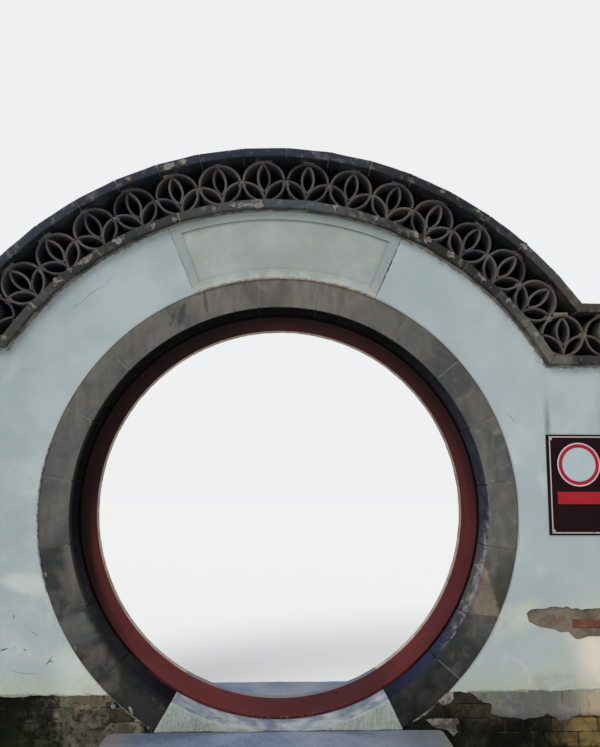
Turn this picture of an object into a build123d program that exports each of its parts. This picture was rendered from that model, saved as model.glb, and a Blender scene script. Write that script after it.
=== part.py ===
from build123d import *
import math
import os

# A garden moon gate: a round doorway through a thick plastered brick wall, ringed with
# grey stones, with a brick coping over it that carries an openwork band of roof tiles.
# Millimetres. X runs along the wall, Y through it (the front faces -Y), Z is up.
# The origin is on the ground, halfway through the wall, under the middle of the doorway.

# The round doorway
gate_radius = 1200.0
ring_height = 175.0
ring_joint = 4.0
ring_face_recess = 3.0
front_stone_depth = 174.0
rear_stone_depth = 60.0

# How the ring is cut: angles run counterclockwise from +X, seen from the front
top_stone_middle = 88.5
top_stone_angle = 16.0
small_stone_angle = 7.0
large_stones_per_side = 8
sill_middle = 270.5
sill_angle = 61.0

# The painted lining of the doorway
lining_thickness = 25.0
lining_proud = 12.0

# The wall
wall_thickness = 550.0
wall_half_length = 2375.0
footing_height = 60.0
plinth_top = 370.0
plinth_recess = 8.0
left_shoulder_rise = 930.0
right_shoulder_rise = 860.0

# The steps, one on each side
step_height = 161.0
step_tread = 320.0
step_half_width = 925.0
step_shift = -20.0
step_edge_radius = 9.0
sill_lip = 4.0

# The arched top of the wall
plaster_band = 418.0
arch_shift = -25.0
arch_drop = 45.0

# Copings
bed_thickness = 7.0
bed_proud = 10.0
coping_thickness = 51.0
coping_overhang = 40.0
lower_brick_length = 248.0
upper_brick_length = 265.0
coping_joint = 3.0

# The tile openwork
tile_circle = 260.0
tile_thickness = 12.0
circle_flats = 5
petal_flats = 4
tile_side_gap = 4.5
tile_end_gap = 3.0
tile_recess = 10.0
lens_lift = 21.0
dab_width = 34.0
dab_bite = 9.0
lattice_groups = 4

# The plaque over the gate
plaque_from = 66.4
plaque_to = 112.1
plaque_thickness = 44.0
plaque_proud = 4.0
plaque_border = 52.0
plaque_field_recess = 9.0
plaque_bead = 7.0

# Where the plaster has fallen off the right-hand wall
patch_depth = 16.0
patch_mortar_thickness = 8.0
patch_brick_proud = 5.0
patch_brick_height = 46.0
patch_brick_middle = (1790.0, -635.0)
patch_brick_length = 240.0
patch_outline = [
    (1398.0, -575.0), (1432.0, -540.0), (1520.0, -528.0), (1610.0, -541.0),
    (1700.0, -506.0), (1830.0, -522.0), (1925.0, -560.0), (1938.0, -640.0),
    (1880.0, -706.0), (1760.0, -728.0), (1655.0, -722.0), (1560.0, -668.0),
    (1470.0, -652.0), (1410.0, -622.0),
]

# What follows from them
gate_z = step_height + sill_lip + gate_radius
ring_outer = gate_radius + ring_height
lining_inner = gate_radius - lining_proud
lining_outer = lining_inner + lining_thickness
wall_front = -wall_thickness / 2
wall_back = wall_thickness / 2
stone_front = wall_front + ring_face_recess
stone_back = wall_back - ring_face_recess
lining_front = wall_front + front_stone_depth
lining_back = wall_back - rear_stone_depth
arch_x = arch_shift
arch_z = gate_z - arch_drop
arch_radius = ring_outer + plaster_band + arch_drop
left_shoulder = gate_z + left_shoulder_rise
right_shoulder = gate_z + right_shoulder_rise
far = 2 * wall_half_length


def along(profile, front, back):
    """The solid that a profile drawn on the wall's face makes from front to back."""
    plane = Plane(origin=(0, back, 0), x_dir=(1, 0, 0), z_dir=(0, -1, 0))
    return extrude(plane * profile, amount=back - front, dir=(0, -1, 0))


def disc(x, z, radius):
    return Pos(x, z) * Circle(radius)


def block(x0, x1, z0, z1):
    return Pos((x0 + x1) / 2, (z0 + z1) / 2) * Rectangle(x1 - x0, z1 - z0)


def on_circle(x, z, radius, angle):
    return (x + radius * math.cos(math.radians(angle)), z + radius * math.sin(math.radians(angle)))


def wedge(angle_from, angle_to):
    """The slice of the wall's face between two rays from the middle of the doorway."""
    middle = (angle_from + angle_to) / 2
    half = math.radians((angle_to - angle_from) / 2)
    points = [(0, gate_z)]
    for angle in (angle_from, middle, angle_to):
        reach = far if angle != middle else far / math.cos(half)
        points.append(on_circle(0, gate_z, reach, angle))
    return Polygon(*points, align=None)


def ring_stone(start, end, inner_radius):
    """One stone of the ring, with half a joint taken off each end."""
    trim = math.degrees(ring_joint / 2 / gate_radius)
    outer = CenterArc((0, gate_z), ring_outer, start + trim, end - start - 2 * trim)
    inner = CenterArc((0, gate_z), inner_radius, start + trim, end - start - 2 * trim)
    return make_face([outer, Line(outer @ 1, inner @ 1), inner, Line(inner @ 0, outer @ 0)])


def save(name, *pieces):
    solids = []
    for piece in pieces:
        solids.extend(piece.solids())
    whole = solids[0] if len(solids) == 1 else Compound(children=solids)
    export_step(whole, f"parts/{name}.step")


os.makedirs("parts", exist_ok=True)


# The granite sill: three blocks in line, the middle one under the painted lining
sill_from = sill_middle - sill_angle / 2
sill_to = sill_middle + sill_angle / 2
above_footing = block(-far, far, footing_height, far)
sill_block = wedge(sill_from, sill_to) & above_footing
sill_profile = sill_block - disc(0, gate_z, gate_radius)
save("front_sill", along(sill_profile, wall_front, lining_front))
rear_profile = sill_block - disc(0, gate_z, lining_inner)
save("rear_sill", along(rear_profile, lining_back, wall_back))
save("sill_bed", along(sill_block - disc(0, gate_z, lining_outer), lining_front, lining_back))

# The ring of stones on each face, counted down from the top stone on both sides. At the rear
# they come forward to the painted face, and show as a bare rim past the paint.
top_from = top_stone_middle - top_stone_angle / 2
top_to = top_stone_middle + top_stone_angle / 2
right_run = (top_from - small_stone_angle) - (sill_to - 360)
left_run = sill_from - (top_to + small_stone_angle)
right_step = right_run / large_stones_per_side
left_step = left_run / large_stones_per_side
ring_parts = {
    "top": [
        (top_from - small_stone_angle, top_from),
        (top_from, top_to),
        (top_to, top_to + small_stone_angle),
    ],
    "left": [
        (top_to + small_stone_angle + i * left_step, top_to + small_stone_angle + (i + 1) * left_step)
        for i in range(large_stones_per_side)
    ],
    "right": [
        (sill_to - 360 + i * right_step, sill_to - 360 + (i + 1) * right_step)
        for i in range(large_stones_per_side)
    ],
}
for side, stones in ring_parts.items():
    front_stones = [ring_stone(start, end, gate_radius) for start, end in stones]
    rear_stones = [ring_stone(start, end, lining_inner) for start, end in stones]
    save(f"front_ring_{side}", *[along(p, stone_front, lining_front) for p in front_stones])
    save(f"rear_ring_{side}", *[along(p, lining_back, stone_back) for p in rear_stones])

# The painted lining, a full circle between the two rings
lining = disc(0, gate_z, lining_outer) - disc(0, gate_z, lining_inner)
save("red_lining", along(lining, lining_front, lining_back))


# The copings are bricks laid as straight chords round the arch and level past the shoulders
class Course:
    """One brick course: a row of corner points for its underside and one for its top."""

    def __init__(self, face_radius, left_z, right_z, brick_length):
        self.brick_length = brick_length
        self.radius = corner_radius(face_radius, brick_length)
        self.left_z = left_z
        self.right_z = right_z
        thick = coping_thickness
        self.low = self.meeting(self.radius, left_z, right_z)
        self.high = self.meeting(self.radius + thick, left_z + thick, right_z + thick)
        right_angle = self.angle(self.low[1])
        left_angle = self.angle(self.low[0])
        run = math.radians(left_angle - right_angle) * self.radius
        count = max(3, round(run / brick_length))
        turns = [right_angle + (left_angle - right_angle) * i / count for i in range(1, count)]
        inner = [on_circle(arch_x, arch_z, self.radius, turn) for turn in turns]
        outer = [on_circle(arch_x, arch_z, self.radius + thick, turn) for turn in turns]
        self.inner = [self.low[1], *inner, self.low[0]]
        self.outer = [self.high[1], *outer, self.high[0]]

    def meeting(self, radius, left_z, right_z):
        """Where the arch meets the level runs, left and right."""
        left = arch_x - math.sqrt(radius**2 - (left_z - arch_z) ** 2)
        right = arch_x + math.sqrt(radius**2 - (right_z - arch_z) ** 2)
        return (left, left_z), (right, right_z)

    def angle(self, point):
        return math.degrees(math.atan2(point[1] - arch_z, point[0] - arch_x))

    def region(self):
        """The whole course as one outline, joints filled."""
        top_left = (-wall_half_length, self.left_z + coping_thickness)
        top_right = (wall_half_length, self.right_z + coping_thickness)
        low_left = (-wall_half_length, self.left_z)
        low_right = (wall_half_length, self.right_z)
        chain = [low_right, *self.inner, low_left, top_left, *reversed(self.outer), top_right]
        return Polygon(*chain, align=None)

    def under(self):
        """Everything below the underside of the course."""
        chain = [(wall_half_length, 0), (wall_half_length, self.right_z), *self.inner]
        chain += [(-wall_half_length, self.left_z), (-wall_half_length, 0)]
        return Polygon(*chain, align=None)

    def arch_bricks(self):
        pairs = zip(self.inner, self.inner[1:], self.outer, self.outer[1:])
        return [self.brick(a, b, c, d) for a, b, c, d in pairs]

    def brick(self, low_a, low_b, high_a, high_b):
        """A brick between two corner points, half a joint short at each end."""
        length = math.dist(low_a, low_b)
        dx = (low_b[0] - low_a[0]) / length * coping_joint / 2
        dz = (low_b[1] - low_a[1]) / length * coping_joint / 2
        points = [
            (low_a[0] + dx, low_a[1] + dz),
            (low_b[0] - dx, low_b[1] - dz),
            (high_b[0] - dx, high_b[1] - dz),
            (high_a[0] + dx, high_a[1] + dz),
        ]
        return Polygon(*points, align=None)

    def level_bricks(self, side):
        """The level run from the mitred corner to the end of the wall."""
        low = self.low[0 if side < 0 else 1]
        high = self.high[0 if side < 0 else 1]
        end = side * wall_half_length
        count = max(1, round(abs(end - low[0]) / self.brick_length))
        bricks = []
        for i in range(count):
            low_x = [low[0] + (end - low[0]) * j / count for j in (i, i + 1)]
            high_x = list(low_x)
            if i == 0:
                high_x[0] = high[0]
            a, b = (low_x[0], low[1]), (low_x[1], low[1])
            c, d = (high_x[0], high[1]), (high_x[1], high[1])
            if i == count - 1:
                stretch = side * coping_joint / 2
                b = (b[0] + stretch, b[1])
                d = (d[0] + stretch, d[1])
            bricks.append(self.brick(a, b, c, d))
        return bricks


def corner_radius(face_radius, length):
    """Corner radius of chords of about this length whose middles touch face_radius."""
    return face_radius / math.cos(math.atan(length / 2 / face_radius))


bed_top = arch_radius + bed_thickness
lower = Course(bed_top, left_shoulder + bed_thickness, right_shoulder + bed_thickness, lower_brick_length)
lower_top = lower.radius + coping_thickness
tile_room = tile_circle + 2 * tile_end_gap
upper = Course(
    lower_top + tile_room,
    lower.left_z + coping_thickness + tile_room,
    lower.right_z + coping_thickness + tile_room,
    upper_brick_length,
)
coping_front = wall_front - coping_overhang
coping_back = wall_back + coping_overhang
for course, name in ((lower, "lower_coping"), (upper, "upper_coping")):
    save(f"{name}_arch", *[along(b, coping_front, coping_back) for b in course.arch_bricks()])
    save(f"{name}_left", *[along(b, coping_front, coping_back) for b in course.level_bricks(-1)])
    save(f"{name}_right", *[along(b, coping_front, coping_back) for b in course.level_bricks(1)])

# The plastered wall, cut into blocks beside and over the doorway
left_corner = math.degrees(math.atan2(left_shoulder - gate_z, lower.low[0][0]))
right_corner = math.degrees(math.atan2(right_shoulder - gate_z, lower.low[1][0]))
over_gate = wedge(right_corner, left_corner)
arch_disc = disc(arch_x, arch_z, arch_radius)


def masonry(region, front=wall_front, back=wall_back):
    """A block of wall with a tongue that reaches in between the two rings of stones."""
    body = along(region - disc(0, gate_z, ring_outer), front, back)
    tongue = along(region - disc(0, gate_z, lining_outer), lining_front, lining_back)
    return body + tongue


patch = Polygon(*[(x, gate_z + z) for x, z in patch_outline], align=None)
patch_brick = Pos(patch_brick_middle[0], gate_z + patch_brick_middle[1]) * Rectangle(
    patch_brick_length, patch_brick_height
)
patch_floor = wall_front + patch_depth
patch_brick = patch_brick & patch
for side, shoulder in ((-1, left_shoulder), (1, right_shoulder)):
    name = "left" if side < 0 else "right"
    near, end = sorted((0, side * wall_half_length))
    upper_block = masonry(block(near, end, gate_z, shoulder) - over_gate)
    lower_block = masonry(block(near, end, plinth_top, gate_z))
    if side > 0:
        lower_block -= along(patch, wall_front, patch_floor)
    save(f"wall_{name}_upper", upper_block)
    save(f"wall_{name}_lower", lower_block)
mortar_front = patch_floor - patch_mortar_thickness
brick_front = mortar_front - patch_brick_proud
save("patch_mortar", along(patch - patch_brick, mortar_front, patch_floor))
save("patch_brick", along(patch_brick, brick_front, patch_floor))

save("arch_wall_right", masonry(arch_disc & wedge(right_corner, plaque_from)))
save("arch_wall_left", masonry(arch_disc & wedge(plaque_to, left_corner)))
plaque_seat = wall_front - plaque_proud + plaque_thickness
save("arch_wall_top", masonry(arch_disc & wedge(plaque_from, plaque_to), front=plaque_seat))

# The plaque: a fan-shaped slab with a plain raised border
plaque_outline = arch_disc & wedge(plaque_from, plaque_to)
plaque_outline -= disc(0, gate_z, ring_outer + plaque_bead)
plaque_field = disc(arch_x, arch_z, arch_radius - plaque_border)
plaque_field -= disc(0, gate_z, ring_outer + plaque_bead + plaque_border)
border_turn = math.degrees(plaque_border / (ring_outer + plaster_band / 2))
plaque_field &= wedge(plaque_from + border_turn, plaque_to - border_turn)
plaque_front = wall_front - plaque_proud
plaque = along(plaque_outline, plaque_front, plaque_seat)
plaque -= along(plaque_field, plaque_front, plaque_front + plaque_field_recess)
save("plaque", plaque)

# The grey brick plinth and the footing course under it
for side in (-1, 1):
    name = "left" if side < 0 else "right"
    near, end = sorted((0, side * wall_half_length))
    region = block(near, end, footing_height, plinth_top) - wedge(sill_from, sill_to)
    save(f"plinth_{name}", masonry(region, wall_front + plinth_recess, wall_back - plinth_recess))
footing = block(-wall_half_length, wall_half_length, 0, footing_height)
save("footing_course", along(footing, wall_front + plinth_recess, wall_back - plinth_recess))

# One granite step before each face of the gate
step_profile = block(step_shift - step_half_width, step_shift + step_half_width, 0, step_height)
for name, front, back in (
    ("front_step", wall_front - step_tread, wall_front),
    ("rear_step", wall_back, wall_back + step_tread),
):
    step = along(step_profile, front, back)
    outward = front if name == "front_step" else back
    top_edges = step.edges().filter_by(lambda e: e.center().Z > step_height - 1)
    worn = [e for e in top_edges if abs(e.center().Y - outward) < 1 or abs(e.center().X - step_shift) > 1]
    save(name, fillet(worn, step_edge_radius))

# The mortar bed under the lower coping
bed_region = lower.under() - arch_disc
bed_front = wall_front - bed_proud
bed_back = wall_back + bed_proud
bed_arch = bed_region & over_gate
save("coping_bed_arch", along(bed_arch, bed_front, bed_back))
for side, shoulder in ((-1, left_shoulder), (1, right_shoulder)):
    name = "left" if side < 0 else "right"
    near, end = sorted((0, side * wall_half_length))
    level = (block(near, end, shoulder, far) & lower.under()) - over_gate
    save(f"coping_bed_{name}", along(level, bed_front, bed_back))

# The openwork of roof tiles. Each unit is a full circle of four tiles, two more tiles that
# close its lower quarters into petals, and two facing tiles that stand between them.
tile_radius = (tile_circle - tile_thickness) / 2
quarter = 90.0
tile_center_radius = lower_top + tile_end_gap + tile_circle / 2
tile_rise = coping_thickness + tile_end_gap + tile_circle / 2
left_tile_z = lower.left_z + tile_rise
right_tile_z = lower.right_z + tile_rise
left_turn = math.asin((left_tile_z - arch_z) / tile_center_radius)
right_turn = math.asin((right_tile_z - arch_z) / tile_center_radius)
arch_span = math.pi - left_turn - right_turn
tile_pitch = tile_circle + tile_side_gap
arch_steps = int(arch_span * tile_center_radius // tile_pitch)
arch_step = arch_span / arch_steps
lattice_front = wall_front + tile_recess
lattice_back = wall_back - tile_recess


def tile(x, z, start):
    """A roof tile seen from its end: a quarter turn, drawn in a few flats to keep it light."""
    turns = [start + quarter * i / petal_flats for i in range(petal_flats + 1)]
    outer = [on_circle(x, z, tile_radius + tile_thickness / 2, turn) for turn in turns]
    inner = [on_circle(x, z, tile_radius - tile_thickness / 2, turn) for turn in reversed(turns)]
    return Polygon(*outer, *inner, align=None)


def tile_unit(center, turn, neighbours):
    """One unit at a place on the wall's face; turn is its lean from upright, in degrees."""
    r = tile_radius
    half_lens = r * math.cos(math.radians(quarter / 2))
    unit = RegularPolygon(tile_circle / 2, 4 * circle_flats)
    unit -= RegularPolygon(tile_circle / 2 - tile_thickness, 4 * circle_flats)
    unit += tile(-r, -r, 0)
    unit += tile(r, -r, quarter)
    unit += tile(half_lens, lens_lift, 2 * quarter - quarter / 2)
    unit += tile(-half_lens, lens_lift, -quarter / 2)
    reach = tile_circle / 2 + tile_end_gap + dab_width
    foot = tile_circle / 2 - dab_bite
    lens_top = lens_lift + half_lens
    unit += block(-dab_width / 2, dab_width / 2, lens_top, reach)
    unit += block(-dab_width / 2, dab_width / 2, -reach, -foot)
    unit = Pos(*center) * Rot(0, 0, turn) * unit
    for other in neighbours:
        distance = math.dist(center, other)
        angle = math.degrees(math.atan2(other[1] - center[1], other[0] - center[0]))
        dab = block(foot, distance / 2, -dab_width / 2, dab_width / 2)
        unit += Pos(*center) * Rot(0, 0, angle) * dab
    return unit


# Places in order from the left end of the wall to the right end
places = []
left_corner_tile = on_circle(arch_x, arch_z, tile_center_radius, 180 - math.degrees(left_turn))
right_corner_tile = on_circle(arch_x, arch_z, tile_center_radius, math.degrees(right_turn))
room_left = left_corner_tile[0] + wall_half_length - tile_circle / 2
room_right = wall_half_length - right_corner_tile[0] - tile_circle / 2
left_count = int(room_left // tile_pitch)
right_count = int(room_right // tile_pitch)
for i in range(left_count, 0, -1):
    places.append(((left_corner_tile[0] - i * tile_pitch, left_tile_z), 0.0, "left"))
for i in range(arch_steps + 1):
    angle = 180 - math.degrees(left_turn + i * arch_step)
    turn = 0.0 if i in (0, arch_steps) else angle - 90
    group = min(lattice_groups - 1, i * lattice_groups // (arch_steps + 1)) + 1
    places.append((on_circle(arch_x, arch_z, tile_center_radius, angle), turn, f"arch_{group}"))
for i in range(1, right_count + 1):
    places.append(((right_corner_tile[0] + i * tile_pitch, right_tile_z), 0.0, "right"))

lower_region = lower.region()
upper_region = upper.region()
groups = {}
for index, (center, turn, group) in enumerate(places):
    neighbours = [places[j][0] for j in (index - 1, index + 1) if 0 <= j < len(places)]
    unit = tile_unit(center, turn, neighbours) - lower_region - upper_region
    groups.setdefault(group, []).append(unit)
for group, units in groups.items():
    lattice = units[0]
    for unit in units[1:]:
        lattice += unit
    save(f"tile_lattice_{group}", along(lattice, lattice_front, lattice_back))
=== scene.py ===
import bpy
import math
import random
from mathutils import Matrix, Vector, geometry, noise


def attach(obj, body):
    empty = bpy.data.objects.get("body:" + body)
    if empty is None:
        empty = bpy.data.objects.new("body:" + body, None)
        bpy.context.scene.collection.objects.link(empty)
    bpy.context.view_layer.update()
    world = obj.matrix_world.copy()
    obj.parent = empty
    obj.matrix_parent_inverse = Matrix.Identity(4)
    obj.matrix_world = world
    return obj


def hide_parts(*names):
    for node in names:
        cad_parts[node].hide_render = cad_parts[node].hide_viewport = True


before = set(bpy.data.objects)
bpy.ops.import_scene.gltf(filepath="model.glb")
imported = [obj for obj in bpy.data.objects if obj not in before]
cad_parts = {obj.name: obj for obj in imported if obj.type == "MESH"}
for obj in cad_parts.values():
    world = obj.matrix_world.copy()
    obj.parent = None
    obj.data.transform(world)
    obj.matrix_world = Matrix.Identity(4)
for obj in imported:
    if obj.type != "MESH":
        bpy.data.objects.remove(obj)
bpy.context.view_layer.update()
bpy.ops.object.select_all(action="DESELECT")


# Footing and plinth. Dark grey bricks laid in mortar up to the foot of the plaster. Damp has
# blackened them, moss grows on the left, and cement has been trowelled over parts of both sides.
class Value:
    """An output of a node in a finish. Sums on it add the Math nodes that work them out."""

    def __init__(self, tree, socket):
        self.tree = tree
        self.socket = socket

    def node(self, kind, settings, sockets, output=0):
        """Adds a node: its settings first, then the values or links of its sockets."""
        added = self.tree.nodes.new(kind)
        for name, value in settings.items():
            if name == "stops":
                ramp = added.color_ramp.elements
                while len(ramp) < len(value):
                    ramp.new(1)
                for stop, (place, colour) in zip(ramp, value):
                    stop.position = place
                    stop.color = linear(colour)
            else:
                setattr(added, name, value)
        for name, value in sockets.items():
            if isinstance(value, Value):
                self.tree.links.new(value.socket, added.inputs[name])
            else:
                added.inputs[name].default_value = value
        return Value(self.tree, added.outputs[output])

    def worked(operation, reflected=False):
        """Makes a method that adds a Math node. Reflected, it takes this value as the last term."""
        def method(self, *others):
            terms = (*others, self) if reflected else (self, *others)
            return self.node("ShaderNodeMath", {"operation": operation}, dict(enumerate(terms)))
        return method

    __add__ = __radd__ = worked("ADD")
    __mul__ = __rmul__ = worked("MULTIPLY")
    __sub__, __rsub__ = worked("SUBTRACT"), worked("SUBTRACT", True)
    __truediv__, __rtruediv__ = worked("DIVIDE"), worked("DIVIDE", True)
    __abs__, root, arctan2 = worked("ABSOLUTE"), worked("SQRT"), worked("ARCTAN2")
    at_least, at_most = worked("MAXIMUM"), worked("MINIMUM")

    def hypot(self, other):
        """How far a place is from a middle, from how far it is along two axes."""
        return (self * self + other * other).root()

    def rise(self, low, high):
        """0 below low, 1 above high, smooth between them. High may be the lower one."""
        sockets = {"Value": self, "From Min": low, "From Max": high}
        if not isinstance(low, Value) and low > high:
            sockets |= {"From Min": high, "From Max": low, "To Min": 1, "To Max": 0}
        return self.node("ShaderNodeMapRange", {"interpolation_type": "SMOOTHSTEP"}, sockets)

    def within(self, start, full, fading, gone):
        """0 up to start, 1 from full to fading, 0 again from gone."""
        return self.rise(start, full) * self.rise(gone, fading)

    def parts(self):
        """The three parts of a place."""
        split = self.node("ShaderNodeSeparateXYZ", {}, {"Vector": self})
        return [Value(self.tree, part) for part in split.socket.node.outputs]

    def grain(self, scale, detail=3, roughness=0.55, distortion=0):
        """Cloudy noise about 0.5, in lumps of 1 / scale metres, or with a scale for each axis."""
        place = self
        if isinstance(scale, tuple):
            place = self.node("ShaderNodeVectorMath", {"operation": "MULTIPLY"}, {0: self, 1: scale})
            scale = 1
        sockets = {"Vector": place, "Scale": scale, "Detail": detail}
        sockets |= {"Roughness": roughness, "Distortion": distortion}
        return self.node("ShaderNodeTexNoise", {}, sockets)

    def between(self, under, over):
        """The first colour where this is 0, the second where it is 1."""
        sockets = {0: self, 6: linear(under), 7: linear(over)}
        return self.node("ShaderNodeMix", {"data_type": "RGBA"}, sockets, 2)

    def ramp(self, *stops):
        """Colours that follow one another, each given after its place between 0 and 1."""
        return self.node("ShaderNodeValToRGB", {"stops": stops}, {"Fac": self})


def linear(colour):
    """A colour in linear light. Three numbers are one as a paint chart gives it, 0 to 255."""
    if isinstance(colour, Value) or len(colour) == 4:
        return colour
    shares = [(c / 255 / 12.92) if c <= 10 else ((c / 255 + 0.055) / 1.055) ** 2.4 for c in colour]
    return (*shares, 1)


def layered(colour, *coats):
    """Lays coats over a colour in turn, each given as where it lies, how thick, and its tone."""
    for where, share, tone in coats:
        colour = (where * share).between(colour, tone)
    return colour


def started(name):
    """A new finish, and the place on the piece that its patterns are read from."""
    finish = bpy.data.materials.new(name)
    finish.use_nodes = True
    tree = finish.node_tree
    return finish, Value(tree, tree.nodes.new("ShaderNodeTexCoord").outputs["Object"])


def tone_of(place):
    """The tone that shaded() gave a piece."""
    return place.node("ShaderNodeAttribute", {"attribute_name": "tone"}, {}, 2)


def settled(finish, colour, roughness, height=None, depth=0.004, sheen_level=0.15):
    """Sets what a finish shows: its colour, roughness, and its fine relief in metres."""
    tree = finish.node_tree
    shader = tree.nodes["Principled BSDF"]
    shader.inputs["Specular IOR Level"].default_value = sheen_level
    for name, value in (("Base Color", linear(colour)), ("Roughness", roughness)):
        if isinstance(value, Value):
            tree.links.new(value.socket, shader.inputs[name])
        else:
            shader.inputs[name].default_value = value
    if height is not None:
        relief = height.node("ShaderNodeBump", {}, {"Height": height, "Distance": depth, "Strength": 0.7})
        tree.links.new(relief.socket, shader.inputs["Normal"])
    return finish


def gritty(name, grit, cloud, share, span, tones, depth, sheen_level=0.15):
    """A finish of mortar. Two grains set how far it goes from its first tone to its second."""
    finish, place = started(name)
    grit = place.grain(*grit)
    tone = (place.grain(*cloud) + grit * share).rise(*span).between(*tones)
    return settled(finish, tone, 0.95, grit, depth, sheen_level)


def finished(piece, finish, slot, *nodes):
    """Gives a new piece its finish and its place in the part, and hides the nodes it stands for."""
    piece.data.materials.clear()
    piece.data.materials.append(finish)
    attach(piece, "root")
    if nodes:
        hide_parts(*nodes)


def refinished(finish, *names):
    """Gives nodes that stay as they are a better finish."""
    for name in names:
        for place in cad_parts[name].material_slots:
            place.material = finish


def only(piece):
    bpy.ops.object.select_all(action="DESELECT")
    piece.select_set(True)
    bpy.context.view_layer.objects.active = piece


def edited(piece, *steps):
    """Runs mesh operators on the whole of a piece, each one given with its settings."""
    only(piece)
    bpy.ops.object.mode_set(mode="EDIT")
    for operator, settings in steps:
        bpy.ops.mesh.select_all(action="SELECT")
        operator(**settings)
    bpy.ops.object.mode_set(mode="OBJECT")
    return piece


def pushed(x, y, z):
    """A step for edited: the whole mesh is extruded by this much."""
    return bpy.ops.mesh.extrude_region_move, {"TRANSFORM_OT_translate": {"value": (x, y, z)}}


facing_out = (bpy.ops.mesh.normals_make_consistent, {"inside": False})


def shaped(piece, kind, **settings):
    """Adds a modifier to a piece and applies it."""
    only(piece)
    added = piece.modifiers.new(kind.title(), kind)
    for name, value in settings.items():
        setattr(added, name, value)
    bpy.ops.object.modifier_apply(modifier=added.name)
    return piece


def bevelled(piece, width, segments=1, **settings):
    return shaped(piece, "BEVEL", width=width, segments=segments, **settings)


def pushed_by_noise(piece, lump, strength, **settings):
    """Moves a surface in and out by cloudy noise in lumps of a given size, in metres."""
    cloud = bpy.data.textures.new("lumps", "CLOUDS")
    cloud.noise_scale = lump
    settings |= {"texture": cloud, "texture_coords": "GLOBAL", "mid_level": 0.5}
    return shaped(piece, "DISPLACE", strength=strength, **settings)


def worn(piece, depth, lump):
    """Wears a surface into low lumps about as wide as lump, in metres."""
    return pushed_by_noise(piece, lump, depth)


def named(piece, name):
    piece.name = piece.data.name = name
    return piece


def copied(piece, move=Matrix()):
    """A copy with its own mesh, moved to its place."""
    twin = piece.copy()
    twin.data = piece.data.copy()
    twin.data.transform(move)
    bpy.context.collection.objects.link(twin)
    return twin


def joined(name, pieces):
    bpy.ops.object.select_all(action="DESELECT")
    for piece in pieces:
        piece.select_set(True)
    bpy.context.view_layer.objects.active = pieces[0]
    if len(pieces) > 1:
        bpy.ops.object.join()
    return named(bpy.context.object, name)


def sliced(piece, axis, places):
    """Cuts a piece across at each place along an axis."""
    unit = Vector([float(i == axis) for i in range(3)])
    cuts = [(bpy.ops.mesh.bisect, {"plane_co": unit * place, "plane_no": unit}) for place in places]
    return edited(piece, *cuts)


def marks(low, high, step):
    """Places between two ends, a step apart."""
    return [low + step * i for i in range(1, int((high - low) / step) + 1)]


def shaded(piece, level):
    """Gives a brick, stone or crack its own tone, 0 to 1, which its finish reads."""
    tone = piece.data.attributes.new("tone", "FLOAT", "POINT")
    tone.data.foreach_set("value", [level] * len(piece.data.vertices))
    return piece


def on_circle(middle, reach, turn):
    """The place x, z at a reach from a middle, and at a turn in radians."""
    return middle[0] + reach * math.cos(turn), middle[1] + reach * math.sin(turn)


wall_end = 2.375
gate_z = 1.365
gate_middle = (0, gate_z)
ring_radius = 1.375
plinth_top = 0.372
plinth_face = 0.271
course_pitch = 0.078
brick_joint = 0.005
brick_run = 0.262
brick_depth = 0.03
shortest_brick = 0.03
half_wall = 0.267
plinth_end = wall_end + 0.003
chance = random.Random(3)


def ring_edge(z, slant):
    """How far out the ring and the sill reach at a height, the sill's side standing at a slant."""
    drop = gate_z - z
    round_edge = math.sqrt(max(0, ring_radius**2 - drop**2))
    return max(round_edge, drop * math.tan(math.radians(slant))) + 0.004


bpy.ops.mesh.primitive_cube_add(size=1)
plinth_brick = bevelled(bpy.context.object, 0.04)
for axis in (0, 2):
    sliced(plinth_brick, axis, [-0.3, -0.1, 0.1, 0.3])


def laid(x0, x1, z0, z1, turn, across):
    """One brick of the plinth, its face this far from the wall's middle; turn 0 faces front."""
    size = Matrix.Diagonal((x1 - x0, brick_depth, z1 - z0, 1))
    place = Matrix.Translation(((x0 + x1) / 2, -across + brick_depth / 2, (z0 + z1) / 2))
    brick = copied(plinth_brick, Matrix.Rotation(turn, 4, "Z") @ place @ size)
    return shaded(brick, chance.random())


bricks = []
# How far the sill's side leans from upright in degrees, by face and side, where it isn't 30
sill_slants = {(0, 1): 29.6, (math.pi, -1): 31}
for course in range(5):
    z1 = plinth_top - course * course_pitch
    z0 = max(0.002, z1 - course_pitch + brick_joint)
    for turn in (0, math.pi):
        for side in (-1, 1):
            slant = sill_slants.get((turn, side), 30)
            near = ring_edge((z0 + z1) / 2, slant) if z1 > 0.06 else 0
            start = near - (brick_run * (0.35 if course % 2 else 0.85))
            while start < plinth_end:
                x0 = max(near, start)
                x1 = min(plinth_end, start + brick_run - brick_joint)
                if x1 - x0 > shortest_brick:
                    ends = (x0, x1) if side > 0 else (-x1, -x0)
                    bricks.append(laid(*ends, z0, z1, turn, plinth_face))
                start += brick_run
    for turn in (math.pi / 2, -math.pi / 2):
        shares = (-1, 0.02, 1) if course % 2 else (-1, -0.5, 0.5, 1)
        cuts = [half_wall * share for share in shares]
        for x0, x1 in zip(cuts, cuts[1:]):
            bricks.append(laid(x0 + 0.004, x1 - 0.004, z0, z1, turn, plinth_end))
bpy.data.objects.remove(plinth_brick)

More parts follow.
